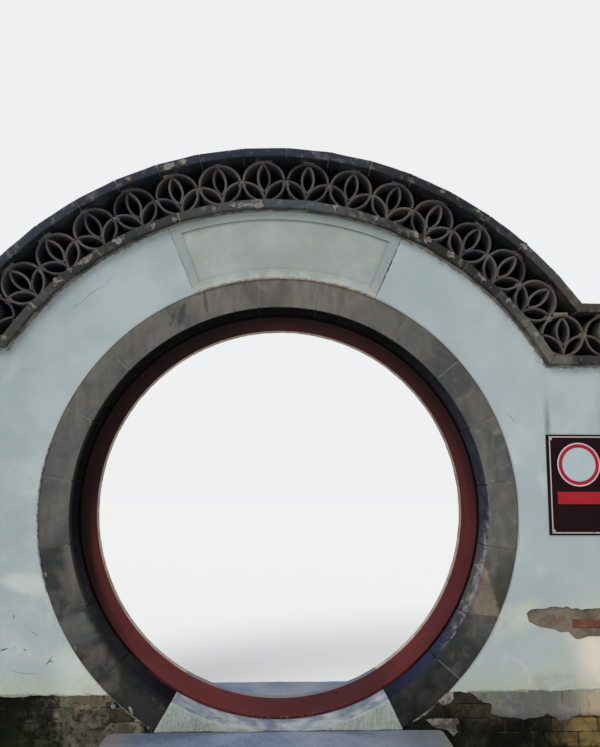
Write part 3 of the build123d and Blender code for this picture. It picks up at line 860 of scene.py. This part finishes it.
def lip(x0, x1, y, outward):
    """The ragged lower edge of the plaster, hanging a little over the plinth."""
    low = (x0, min(y, y - outward * 0.01), 0.362)
    high = (x1, max(y, y - outward * 0.012), 0.395)
    edge = started_block(low, high)
    sliced(edge, 0, marks(x0, x1, 0.012))
    hanging = edge.vertex_groups.new(name="hanging")
    hanging.add([v.index for v in edge.data.vertices if v.co.z < 0.37], 1, "REPLACE")
    for lump, strength in ((0.09, 0.026), (0.025, 0.014)):
        pushed_by_noise(edge, lump, strength, direction="Z", vertex_group="hanging")
    near_end = min(abs(x0), abs(x1))
    for corner in edge.data.vertices:
        if abs(corner.co.x) < near_end + 0.001:
            reach = math.sqrt((ring_radius + 0.0015) ** 2 - (gate_z - corner.co.z) ** 2)
            corner.co.x = math.copysign(reach, x0)
    return edge


lips = []
lip_start = 0.975
for y, outward in ((-0.2762, -1), (0.2762, 1)):
    lips.append(lip(-wall_end, -lip_start, y, outward))
    lips.append(lip(lip_start, wall_end, y, outward))
finished(joined("plaster_lips", lips), plaster_finish, "plaster")


def crack(points, width):
    """A fine crack: a dark ragged line, widest in its middle."""
    bpy.ops.mesh.primitive_grid_add(x_subdivisions=len(points) - 1, y_subdivisions=1, size=1)
    line = bpy.context.object
    rows = (line.data.vertices[: len(points)], line.data.vertices[len(points) :])
    for index, (px, pz) in enumerate(points):
        before = Vector(points[max(0, index - 1)])
        after = Vector(points[min(len(points) - 1, index + 1)])
        square = Vector((-(after - before).y, (after - before).x)).normalized()
        middle = 1 - abs(2 * index / (len(points) - 1) - 1)
        half = square * width * (0.15 + 0.85 * middle) * chance.uniform(0.7, 1.2) / 2
        for row, sign in zip(rows, (1, -1)):
            row[index].co = (px + half.x * sign, -face_y - 0.0004, pz + half.y * sign)
    return edited(line, pushed(0, 0.002, 0), facing_out)


# Each crack's line, its width and how faint it is
cracks = [
    ([(-1.234, 2.535), (-1.212, 2.559), (-1.169, 2.582), (-1.134, 2.629), (-1.076, 2.668), (-1.039, 2.684),
      (-0.99, 2.762)], 0.0035, 0.8),
    ([(-1.545, 0.606), (-1.527, 0.609), (-1.498, 0.619)], 0.008, 0.1),
    ([(-1.292, 0.521), (-1.276, 0.545), (-1.257, 0.576)], 0.008, 0),
    ([(-1.272, 0.546), (-1.262, 0.546), (-1.252, 0.541)], 0.007, 0.2),
    ([(-1.483, 0.502), (-1.44, 0.487), (-1.39, 0.483), (-1.334, 0.479)], 0.0035, 0.6),
    ([(-1.391, 0.714), (-1.366, 0.7), (-1.346, 0.687), (-1.336, 0.698)], 0.005, 0.9),
    ([(-1.418, 0.607), (-1.41, 0.61), (-1.402, 0.606)], 0.009, 0.3),
    ([(-1.467, 0.612), (-1.462, 0.619), (-1.456, 0.622)], 0.005, 0.3),
    ([(-1.479, 0.772), (-1.477, 0.788), (-1.478, 0.802)], 0.006, 0.5),
    ([(1.576, 1.942), (1.571, 1.915), (1.569, 1.885), (1.575, 1.86), (1.577, 1.838)], 0.004, 0.5),
    ([(1.323, 1.941), (1.35, 1.92), (1.362, 1.9), (1.378, 1.884)], 0.004, 0.5),
]
crack_finish, place = started("crack_finish")
crumbs = place.grain(40).rise(0.3, 0.7)
faint_tone = crumbs.between((116, 124, 122), (142, 150, 147))
settled(crack_finish, tone_of(place).between(crumbs.between((58, 64, 66), (84, 90, 88)), faint_tone), 0.95)
lines = [shaded(crack(points, width), faint) for points, width, faint in cracks]
finished(joined("wall_cracks", lines), crack_finish, "plaster")


# Bare patch. Plaster has fallen off the right-hand wall and shows the old mortar and one red
# brick. What is left round it stands up in a broken edge.
patch_finish, place = started("patch_mortar_finish")
x, y, z = place.parts()
grit = place.grain(70, 5, 0.7)
flake = place.grain(34, 4, 0.7, 0.5)
off_x = x - 1.566 + (flake - 0.5) * 0.09
off_z = (z - 0.752 + (flake - 0.5) * 0.06 + off_x * 0.3) * 1.6
settled(patch_finish, layered(
    (place.grain(9, 4, 0.6) + grit * 0.4).rise(0.5, 0.85).between((92, 84, 73), (123, 112, 97)),
    (off_x.hypot(off_z).rise(0.042, 0.028), 0.55, (116, 82, 70)),
    ((abs(off_x * 2.2) + abs(z - 0.772)).rise(0.022, 0.01), 0.75, (66, 46, 40)),
    (grit.rise(0.38, 0.3), 0.7, (66, 60, 54)),
), 0.95, grit, 0.006)
bare = stone_copy("patch_bare_mortar", ("patch_mortar",), 0, 0.015, 0.006, 0.03)
finished(bare, patch_finish, "mortar", "patch_mortar")
red_finish, place = started("red_brick_finish")
grit = place.grain(80, 5, 0.7)
settled(red_finish, layered(
    (place.grain(12, 4, 0.6) + grit * 0.3).rise(0.5, 0.8).between((96, 56, 48), (120, 74, 62)),
    (grit.rise(0.4, 0.32), 0.7, (112, 100, 88)),
), 0.9, grit, 0.004)
red_brick = stone_copy("patch_red_brick", ("patch_brick",), 0.004, 0.015, 0.006, 0.03)
finished(red_brick, red_finish, "red_brick", "patch_brick")

patch_middle = Vector((1.665, 0.752))
patch_points = [
    (1.398, 0.79), (1.432, 0.825), (1.52, 0.837), (1.61, 0.824), (1.7, 0.859),
    (1.83, 0.843), (1.925, 0.805), (1.938, 0.725), (1.88, 0.659), (1.76, 0.637),
    (1.655, 0.643), (1.56, 0.697), (1.47, 0.713), (1.41, 0.743),
]
bare_points = [
    (1.397, 0.776), (1.406, 0.798), (1.431, 0.812), (1.513, 0.817), (1.537, 0.825), (1.612, 0.828),
    (1.676, 0.816), (1.724, 0.808), (1.774, 0.816), (1.84, 0.818), (1.9, 0.8), (1.926, 0.77),
    (1.922, 0.72), (1.87, 0.672), (1.819, 0.661), (1.766, 0.658), (1.716, 0.642), (1.684, 0.64),
    (1.662, 0.66), (1.64, 0.686), (1.58, 0.688), (1.508, 0.7), (1.438, 0.712), (1.408, 0.742),
]


def edge_from(points, start, way):
    """How far an outline lies from a place inside it, in one direction."""
    hits = []
    for one, other in zip(points, points[1:] + points[:1]):
        hit = geometry.intersect_line_line_2d(start, start + way, Vector(one), Vector(other))
        if hit:
            hits.append((hit - start).length)
    return max(hits)


broken = drawn(patch_points, -face_y - 0.0008, "NOTHING")
edited(broken, (bpy.ops.mesh.subdivide, {"number_cuts": 7}), pushed(0, 0, 0))
half = len(broken.data.vertices) // 2
for index, corner in enumerate(broken.data.vertices):
    from_middle = Vector((corner.co.x, corner.co.z)) - patch_middle
    hollow = from_middle.length
    way = from_middle.normalized()
    if index < half:
        reach = hollow + 0.022
    else:
        ragged = 0.007 * noise.noise(corner.co * 26) + 0.007 * noise.noise(corner.co * 70)
        reach = min(edge_from(bare_points, patch_middle, way) + ragged, hollow - 0.004)
    corner.co.x = patch_middle.x + way.x * reach
    corner.co.z = patch_middle.y + way.y * reach
edited(broken, facing_out)
if sum(face.normal.y for face in broken.data.polygons) > 0:
    broken.data.flip_normals()
shaped(broken, "SOLIDIFY", thickness=0.009, offset=-1)
finished(named(broken, "patch_broken_edge"), plaster_finish, "plaster")


# Plaque. A fan of pale grey cement set over the doorway in a bead of mortar, with a raised plain
# border and a bare field. Dirt and painted shadow lie in the inner corner and along its top under
# the coping, and it is cracked at its right edge.
plaque_finish, place = started("plaque_finish")
x, y, z = place.parts()
from_arch = (x - arch_x).hypot(z - arch_z)
radius = x.hypot(z - gate_z)
cloud = place.grain(3, 4, 0.6)
patchy = place.grain(13, 5, 0.65)
fine = place.grain(80, 4, 0.65)
smear = (patchy + radius.rise(1.44, 1.39) * 0.2).rise(0.6, 0.74) * radius.rise(1.46, 1.4)
settled(plaque_finish, layered(
    (cloud + patchy * 0.3).rise(0.45, 0.85).between((150, 156, 152), (170, 174, 168)),
    (y.rise(-0.2745, -0.2785) * radius.rise(1.45, 1.5), 0.6, (140, 150, 151)),
    # Dirt and painted shadow where the border steps down to the field.
    (y.within(-0.2785, -0.2765, -0.2725, -0.2705), 0.85, (58, 60, 58)),
    (smear, 0.4, (184, 188, 182)),
    # Dirt and painted shadow along the top, under the coping.
    ((from_arch - patchy * 0.02).rise(1.815, 1.832), 0.7, (88, 90, 82)),
    ((fine + cloud * 0.2).rise(0.78, 0.86), 0.4, (112, 116, 112)),
), 0.88, fine * 0.4 + patchy, 0.003)
refinished(plaque_finish, "plaque")

bead_finish, place = started("bead_finish")
x, y, z = place.parts()
grit = place.grain(60, 4, 0.6)
settled(bead_finish, layered(
    grit.rise(0.35, 0.7).between((120, 113, 98), (164, 156, 136)),
    (x.rise(-0.9, -1.2), 1, grit.rise(0.4, 0.6).between((84, 84, 80), (150, 150, 144))),
), 0.95, grit, 0.003)
beads = [
    spun(1.3735, 1.3835, -0.279, mortar_y, 66.4, 112.1, 90),
    spun(1.3725, 1.379, -0.277, mortar_y, 164, 199, 90),
]
finished(worn(joined("mortar_beads", beads), 0.006, 0.02), bead_finish, "mortar")

edge_cracks = []
for end, drift, inner, count, width in ((66.35, 0.12, 1.39, 16, 0.009), (112.12, 0.08, 1.4, 12, 0.005)):
    points = []
    for step in range(count + 1):
        reach = inner + (1.8 - inner) * step / count
        points.append(on_circle(gate_middle, reach, math.radians(end + chance.uniform(-drift, drift))))
    edge_cracks.append(crack(points, width))
edge_finish, place = started("plaque_edge_finish")
settled(edge_finish, place.grain(40).rise(0.3, 0.7).between((48, 46, 40), (84, 82, 74)), 0.95)
finished(joined("plaque_edge_cracks", edge_cracks), edge_finish, "plaster")


# Lower and upper coping. Dark fired bricks on edge along the arch, laid in a bed of mortar that
# shows under them and in their joints, where it was pointed by hand.
bed_tones = ((72, 70, 64), (140, 136, 124))
bed_finish = gritty(
    "coping_mortar_finish", (70, 5, 0.7), (8, 4, 0.6), 0.4, (0.55, 0.82), bed_tones, 0.006
)
refinished(bed_finish, "coping_bed_arch", "coping_bed_left", "coping_bed_right")

arch_middle = (arch_x, arch_z)
coping_joints = []
joint_block = sliced(started_block((-0.0045, -0.3105, 0.003), (0.0045, 0.3105, 0.048)), 1, [-0.2, 0, 0.2])
# Each course's radius, its bricks, the ends of its arch at left and right, and its level bricks
for reach, count, left, right, level_count in (
    (1.84916, 15, (-1.59187, 2.302), (1.58362, 2.232), 3),
    (2.17021, 16, (-1.76351, 2.619), (1.76368, 2.549), 2),
):
    turn_right = math.atan2(right[1] - arch_z, right[0] - arch_x)
    turn_left = math.atan2(left[1] - arch_z, left[0] - arch_x)
    for index in range(count + 1):
        turn = turn_right + (turn_left - turn_right) * index / count
        lean = math.pi / 2 - turn
        if index in (0, count):
            lean *= 0.5
        px, pz = on_circle(arch_middle, reach, turn)
        spot = Matrix.Translation((px, 0, pz)) @ Matrix.Rotation(lean, 4, "Y")
        coping_joints.append(copied(joint_block, spot))
    for (low_x, low_z), end in ((left, -wall_end), (right, wall_end)):
        for index in range(1, level_count):
            spot = Matrix.Translation((low_x + (end - low_x) * index / level_count, 0, low_z))
            coping_joints.append(copied(joint_block, spot))
bpy.data.objects.remove(joint_block)
finished(worn(joined("coping_pointing", coping_joints), 0.006, 0.02), bed_finish, "mortar")


lower_middle, upper_middle = 1.8747, 2.1957


def coping_smear(px, pz, wide, high):
    """Pointing mortar smeared over the face of the coping, thin and ragged at its edges."""
    from_arch = math.hypot(px - arch_x, pz - arch_z)
    band = lower_middle if from_arch < (lower_middle + upper_middle) / 2 else upper_middle
    reach = min(max(from_arch, band - 0.008), band + 0.004)
    turn = math.atan2(pz - arch_z, px - arch_x)
    px, pz = on_circle(arch_middle, reach, turn)
    points = []
    drift = chance.uniform(0, 90)
    count = 26
    for step in range(count):
        around = 2 * math.pi * step / count
        cos, sin = math.cos(around), math.sin(around)
        ragged = 0.85 + 0.9 * noise.noise(Vector((1.2 * cos + drift, 1.2 * sin, drift)))
        ragged += 0.22 * noise.noise(Vector((3.7 * cos, 3.7 * sin + drift, 3)))
        along = wide / 2 * cos * ragged
        up = min(0.021, high / 2) * sin * ragged
        points.append((
            px - along * math.sin(turn) + up * math.cos(turn),
            pz + along * math.cos(turn) + up * math.sin(turn),
        ))
    return slab(points, -0.312, 0.0055, 0.005, 0)


# Each smear's place, its length along the coping and its height
coping_smears = [coping_smear(*smear) for smear in (
    (-0.29, 3.17, 0.05, 0.03), (-0.16, 3.178, 0.13, 0.044), (-0.763, 3.035, 0.04, 0.05),
    (-0.643, 3.085, 0.03, 0.045), (-0.411, 3.148, 0.03, 0.04), (0.312, 3.167, 0.03, 0.04),
    (0.554, 3.107, 0.04, 0.045), (-0.25, 3.175, 0.05, 0.045), (-1.595, 2.346, 0.05, 0.05),
    (-1.438, 2.543, 0.025, 0.045), (-1.314, 2.689, 0.07, 0.045), (-1.18, 2.814, 0.12, 0.05),
    (-0.963, 2.949, 0.07, 0.045), (0.78, 3.013, 0.08, 0.05), (0.86, 2.98, 0.05, 0.04),
    (1.008, 2.899, 0.06, 0.05), (1.19, 2.747, 0.06, 0.045), (1.345, 2.605, 0.04, 0.045),
    (1.446, 2.472, 0.05, 0.04), (1.497, 2.41, 0.04, 0.04), (-1.24, 2.76, 0.04, 0.035),
    (-0.916, 3.328, 0.05, 0.035), (-0.67, 3.405, 0.11, 0.05), (-0.6, 3.425, 0.05, 0.04),
    (0.982, 3.313, 0.035, 0.03), (1.185, 3.177, 0.03, 0.03), (1.465, 2.961, 0.06, 0.035),
    (-1.238, 3.163, 0.03, 0.03),
)]
smear_tones = ((58, 57, 55), (138, 134, 124))
smear_finish = gritty(
    "coping_smear_finish", (110, 5, 0.75), (30, 4, 0.65), 0.6, (0.66, 0.94), smear_tones, 0.006
)
finished(joined("coping_mortar_smears", coping_smears), smear_finish, "mortar")

coping_finish, place = started("coping_brick_finish")
x, y, z = place.parts()
tone = tone_of(place)
grit = place.grain(110, 4, 0.65)
cloud = place.grain(6, 5, 0.6)
patchy = place.grain(22, 5, 0.65)
upward = z - arch_z
from_arch = (x - arch_x).hypot(upward)
lower = from_arch.rise(2.06, 2)
upper = 1 - lower
turn = upward.arctan2(x - arch_x) * math.degrees(1)
corner_pale = lower * turn.rise(41, 37) * x.rise(1.8, 1.7) * (0.35 + patchy * 0.8)
level_soffit = z + x.rise(-0.01, 0.01) * 0.07 - 2.619
# Painted shade: the underside of the upper coping, painted near-black.
soffit_shade = from_arch.within(2.165, 2.168, 2.175, 2.18) * abs(x).rise(1.78, 1.75)
soffit_shade = soffit_shade + level_soffit.within(-0.012, -0.009, 0.004, 0.009) * abs(x).rise(1.75, 1.78)
within = abs(y).rise(0.312, 0.3)
settled(coping_finish, layered(
    tone.between((42, 43, 46), (70, 69, 68)),
    (z.rise(2.9, 3.5), 0.5, (48, 52, 64)),
    (x.rise(-0.4, -1.6) * cloud.rise(0.4, 0.6), 0.5, (72, 74, 62)),
    (x.rise(1.25, 1.9) * z.rise(2.45, 2.65), 0.8, (74, 68, 61)),
    (upper * turn.within(44, 52, 68, 78), 0.8, (33, 36, 39)),
    (upper * turn.rise(74, 84), 0.55, (42, 48, 68)),
    (lower * turn.within(42, 47, 65, 72), 0.8, (36, 37, 34)),
    (lower * turn.within(74, 80, 96, 104), 0.4, (92, 94, 99)),
    (corner_pale, 1, (102, 102, 90)),
    (lower * x.rise(1.68, 1.76), 0.9, (30, 28, 25)),
    ((patchy + grit * 0.3).rise(0.56, 0.44), 0.6, (34, 35, 37)),
    ((patchy + cloud * 0.5 + grit * 0.2).rise(0.88, 1.02), 0.5, (118, 115, 106)),
    # Painted shade on the underside of the upper coping. Every face set back from the coping's front is
    # also made a little darker.
    (within * soffit_shade, 0.8, (14, 12, 14)),
    (within, 0.35, (34, 34, 36)),
), 0.88, grit + patchy, 0.004)
for course in ("lower", "upper"):
    nodes = [f"{course}_coping_{part}" for part in ("arch", "left", "right")]
    coping = stone_copy(f"{course}_coping_bricks", nodes, 0.004, 0.06, 0.006, 0.05)
    finished(coping, coping_finish, "coping_brick", *nodes)


# Tile openwork. Curved roof tiles stood on end between the copings: four make a circle, two close
# its lower quarters into petals, and two face each other in its middle. Dabs of mortar hold them.
tile_radius = 0.124
tile_thick = 0.013
tile_front = 0.266
tile_gap = 0.006
tile_from, tile_to = 2, 88
unit_half = 0.13
unit_count = 16
unit_step = 7.49241
left_turn = 34.994
level_pitch = 0.2645
tile_ring = 2.03316


def roof_tile(y0, y1):
    """One tile: a curved shell with its long way through the wall, its arrises worn."""
    inner, outer = tile_radius - tile_thick / 2, tile_radius + tile_thick / 2
    shell = spun(inner, outer, y0, y1, tile_from, tile_to, 9, (0, 0))
    return bevelled(shell, 0.0022, limit_method="ANGLE", angle_limit=1)


front_tile = roof_tile(-tile_front, -tile_gap / 2)
rear_tile = roof_tile(tile_gap / 2, tile_front)
lens_middle = tile_radius * math.cos(math.radians(45))
tile_places = [(0, 0, quarter * 90) for quarter in range(4)]
tile_places += [(-tile_radius, -tile_radius, 0), (tile_radius, -tile_radius, 90)]
tile_places += [(lens_middle, 0.021, 135), (-lens_middle, 0.021, -45)]


def mortar_dab(width, height, y0, y1):
    """A dab of mortar squeezed between tiles, as long as the tiles are."""
    dab = started_block((-width / 2, y0, -height / 2), (width / 2, y1, height / 2))
    bevelled(dab, min(width, height) * 0.3, 2)
    sliced(dab, 1, [y0 + 0.004, y0 + 0.02, 0, y1 - 0.02, y1 - 0.004])
    return sliced(dab, 0, [-width * 0.2, width * 0.2])


places = []
for index in range(unit_count):
    angle = math.radians(180 - left_turn - index * unit_step)
    lean = 0 if index in (0, unit_count - 1) else angle - math.pi / 2
    places.append((on_circle(arch_middle, tile_ring, angle), lean, f"arch_{index * 4 // unit_count + 1}"))
for _ in range(2):
    (first_x, first_z), _, _ = places[0]
    places.insert(0, ((first_x - level_pitch, first_z), 0, "left"))
    (last_x, last_z), _, _ = places[-1]
    places.append(((last_x + level_pitch, last_z), 0, "right"))

side_dab = mortar_dab(0.04, 0.036, -0.262, 0.262)
top_dab = mortar_dab(0.076, 0.024, -0.263, 0.263)
low_dab = mortar_dab(0.034, 0.018, -0.264, 0.264)
tile_groups = {}
dab_groups = {}
for index, ((px, pz), lean, group) in enumerate(places):
    unit = Matrix.Translation((px, 0, pz)) @ Matrix.Rotation(-lean, 4, "Y")
    tiles = tile_groups.setdefault(group, [])
    dabs = dab_groups.setdefault(group, [])
    for tx, tz, turn in tile_places:
        for shell in (front_tile, rear_tile):
            nudge = [chance.uniform(-most, most) for most in (0.0012, 0.003, 0.0012)]
            spin = math.radians(turn + chance.uniform(-1.2, 1.2))
            place = unit @ Matrix.Translation((tx, 0, tz)) @ Matrix.Translation(nudge)
            tiles.append(shaded(copied(shell, place @ Matrix.Rotation(-spin, 4, "Y")), chance.random()))
    for shape, height, wide in ((top_dab, 0.131, 0.35), (low_dab, -0.134, 0.3)):
        stretch = Matrix.Diagonal((chance.uniform(1 - wide, 1 + wide), 1, chance.uniform(0.85, 1.2), 1))
        shift = Matrix.Translation((chance.uniform(-0.006, 0.006), 0, height))
        dabs.append(shaded(copied(shape, unit @ shift @ stretch), chance.random()))
    if index + 1 < len(places):
        (qx, qz), _, _ = places[index + 1]
        toward_next = Matrix.Rotation(-math.atan2(qz - pz, qx - px), 4, "Y")
        spot = Matrix.Translation(((px + qx) / 2, 0, (pz + qz) / 2)) @ toward_next
        gap = math.hypot(qx - px, qz - pz) - 2 * unit_half
        stretch = Matrix.Diagonal((1 + gap / 0.04, 1, chance.uniform(0.8, 1.5), 1))
        dabs.append(shaded(copied(side_dab, spot @ stretch), chance.random()))
for shape in (front_tile, rear_tile, side_dab, top_dab, low_dab):
    bpy.data.objects.remove(shape)

tile_finish, place = started("roof_tile_finish")
x, y, z = place.parts()
tone = tone_of(place)
grit = place.grain(120, 4, 0.65)
cloud = place.grain(10, 4, 0.6)
edge = layered(
    tone.between((56, 55, 58), (92, 88, 86)),
    (x.rise(1.5, 1.8), 0.6, (98, 86, 72)),
    ((cloud + grit * 0.3).rise(0.5, 0.8), 0.35, (108, 106, 104)),
)
# Painted shade, with some grime: the tiles darker inside than at their rims, and near-black deep in the
# openwork.
inside = layered(
    (tone * 0.6 + cloud * 0.5).rise(0.2, 1).between((46, 46, 54), (88, 84, 82)),
    (x.rise(0.6, 1.2) * tone.rise(0.5, 0.8), 0.5, (112, 108, 102)),
    (abs(y).rise(0.21, 0.13), 0.92, (18, 18, 23)),
)
settled(tile_finish, abs(y).rise(0.245, 0.262).between(inside, edge), 0.9, grit + cloud, 0.003, 0.05)
dab_finish, place = started("dab_finish")
x, y, z = place.parts()
grit = place.grain(80, 4, 0.65)
settled(dab_finish, layered(
    (place.grain(12, 4, 0.6) + grit * 0.3).rise(0.5, 0.85).between((74, 72, 70), (126, 122, 114)),
    (x.rise(1.5, 1.75), 0.6, (140, 126, 104)),
    # Painted shade: the dabs near-black deep in the openwork.
    (abs(y).rise(0.255, 0.225), 1, (34, 32, 34)),
), 0.95, grit, 0.004)
for group, tiles in tile_groups.items():
    tile_work = smoothed(joined(f"tile_work_{group}", tiles), 30)
    finished(tile_work, tile_finish, "roof_tile", f"tile_lattice_{group}")
    dab_work = worn(joined(f"tile_mortar_{group}", dab_groups[group]), 0.01, 0.02)
    finished(smoothed(dab_work, 50), dab_finish, "mortar")


# Sign. A small dark enamelled plate screwed to the right-hand wall, with a pale line round it, a
# pale disc with a plain red ring, and a plain red band.
sign_x0, sign_x1, sign_z0, sign_z1 = 1.552, 1.926, 1.23, 1.815
disc_x, disc_z = 1.741, 1.639
plate_y = -face_y - 0.006
plate = bevelled(started_block((sign_x0, plate_y, sign_z0), (sign_x1, -face_y + 0.001, sign_z1)), 0.0015, 2)
plate_finish, place = started("sign_plate_finish")
x, y, z = place.parts()
edge_x = (sign_x1 - sign_x0) / 2 - abs(x - (sign_x0 + sign_x1) / 2)
edge_z = (sign_z1 - sign_z0) / 2 - abs(z - (sign_z0 + sign_z1) / 2)
from_edge = (edge_x - 0.016).at_most(edge_z - 0.01)
worn_print = place.grain(40, 4, 0.6)
line = from_edge.within(0, 0.001, 0.007, 0.008)
line = line * worn_print.rise(0.24, 0.36) * y.rise(-0.279, -0.2805)
enamel = place.grain(5, 3, 0.5).between((18, 8, 11), (34, 13, 17))
settled(plate_finish, line.between(enamel, (186, 170, 168)), 0.4, worn_print, 0.0003, 0.06)
finished(named(plate, "sign_plate"), plate_finish, "red_paint")

disc_finish, place = started("sign_disc_finish")
x, y, z = place.parts()
from_middle = (x - disc_x).hypot(z - disc_z)
fade = place.grain(14, 4, 0.6)
settled(disc_finish, layered(
    fade.between((160, 174, 178), (182, 194, 197)),
    (from_middle.rise(0.118, 0.122), 1, (204, 182, 184)),
    (from_middle.within(0.0985, 0.0995, 0.1195, 0.1205), 1, (162, 32, 46)),
), 0.4, fade, 0.0003, 0.08)


def round_bar(radius, length, sides, middle=(0, 0, 0)):
    """A round bar along the wall's thickness."""
    settings = {"vertices": sides, "radius": radius, "depth": length, "location": middle}
    bpy.ops.mesh.primitive_cylinder_add(rotation=(math.pi / 2, 0, 0), **settings)
    bpy.ops.object.transform_apply()
    return bpy.context.object


disc_proud = 0.0012
disc = round_bar(0.128, disc_proud, 64, (disc_x, plate_y - disc_proud / 2, disc_z))
bevelled(disc, disc_proud * 0.2, limit_method="ANGLE")
finished(named(disc, "sign_disc"), disc_finish, "plaster")
band = bevelled(started_block((1.608, plate_y - 0.0012, 1.409), (1.87, plate_y + 0.001, 1.48)), 0.0004)
band_finish, place = started("sign_band_finish")
fade = place.grain(14, 4, 0.6)
settled(band_finish, fade.between((148, 26, 38), (176, 38, 46)), 0.4, fade, 0.0003, 0.08)
finished(named(band, "sign_band"), band_finish, "red_paint")

screw_finish, place = started("screw_finish")
grit = place.grain(300, 2, 0.5)
settled(screw_finish, grit.between((150, 146, 140), (186, 182, 176)), grit * 0.3 + 0.4, sheen_level=0.5)
screw_finish.node_tree.nodes["Principled BSDF"].inputs["Metallic"].default_value = 0.4
screw = bevelled(round_bar(0.0105, 0.004, 20), 0.0018, 3, limit_method="ANGLE")
slot_cut = bevelled(started_block((-0.011, -0.006, -0.0011), (0.011, -0.0008, 0.0011)), 0.0002)
shaped(screw, "BOOLEAN", operation="DIFFERENCE", object=slot_cut, solver="EXACT")
bpy.data.objects.remove(slot_cut)
screws = []
screw_in = 0.025, 0.024
for px, pz, turn in (
    (sign_x0 + screw_in[0], sign_z0 + screw_in[1], 20),
    (sign_x1 - screw_in[0], sign_z0 + screw_in[1], 75),
    (sign_x0 + screw_in[0], sign_z1 - screw_in[1], 130),
    (sign_x1 - screw_in[0], sign_z1 - screw_in[1], 10),
):
    place = Matrix.Translation((px, plate_y - 0.0018, pz)) @ Matrix.Rotation(math.radians(turn), 4, "Y")
    screws.append(copied(screw, place))
bpy.data.objects.remove(screw)
finished(joined("sign_screws", screws), screw_finish, "granite")


# Floor, lights and camera. A plain pale floor under soft daylight, seen from the front at eye
# height, a little below the middle of the doorway.
floor_finish, place = started("floor_finish")
settled(floor_finish, (226, 226, 224), 0.9)
bpy.ops.mesh.primitive_circle_add(vertices=64, radius=60, fill_type="NGON", location=(0, 0, -0.001))
floor = named(bpy.context.object, "floor")
floor.data.materials.append(floor_finish)

world = bpy.data.worlds.new("daylight")
bpy.context.scene.world = world
world.use_nodes = True
tree = world.node_tree
rays = tree.nodes.new("ShaderNodeLightPath")
seen = Value(tree, rays.outputs["Is Camera Ray"])
for ray in ("Is Glossy Ray", "Is Transmission Ray"):
    seen = seen.at_least(Value(tree, rays.outputs[ray]))
sky = seen.between((0.56, 0.575, 0.6, 1), (0.86, 0.87, 0.88, 1))
tree.links.new(sky.socket, tree.nodes["Background"].inputs["Color"])

for name, strength, lean, swing in (("key_light", 1.5, 42, -35), ("back_light", 0.9, 40, 150)):
    bpy.ops.object.light_add(type="SUN", rotation=(math.radians(lean), 0, math.radians(swing)))
    lamp = bpy.context.object
    lamp.name = name
    lamp.data.energy = strength
    lamp.data.angle = math.radians(28)

bpy.ops.object.camera_add()
camera = bpy.context.object
camera.matrix_world = Matrix.Translation((-0.017, -3.741, 1.489))
for degrees, axis in ((-2.03, "Z"), (95.92, "X"), (0.12, "Z")):
    camera.matrix_world @= Matrix.Rotation(math.radians(degrees), 4, axis)
camera.data.lens = 36
camera.data.sensor_width = 36
camera.data.sensor_fit = "HORIZONTAL"
camera.data.shift_y = 0.09
camera.data.clip_start = 0.05
bpy.context.scene.camera = camera
bpy.context.scene.view_settings.view_transform = "Standard"
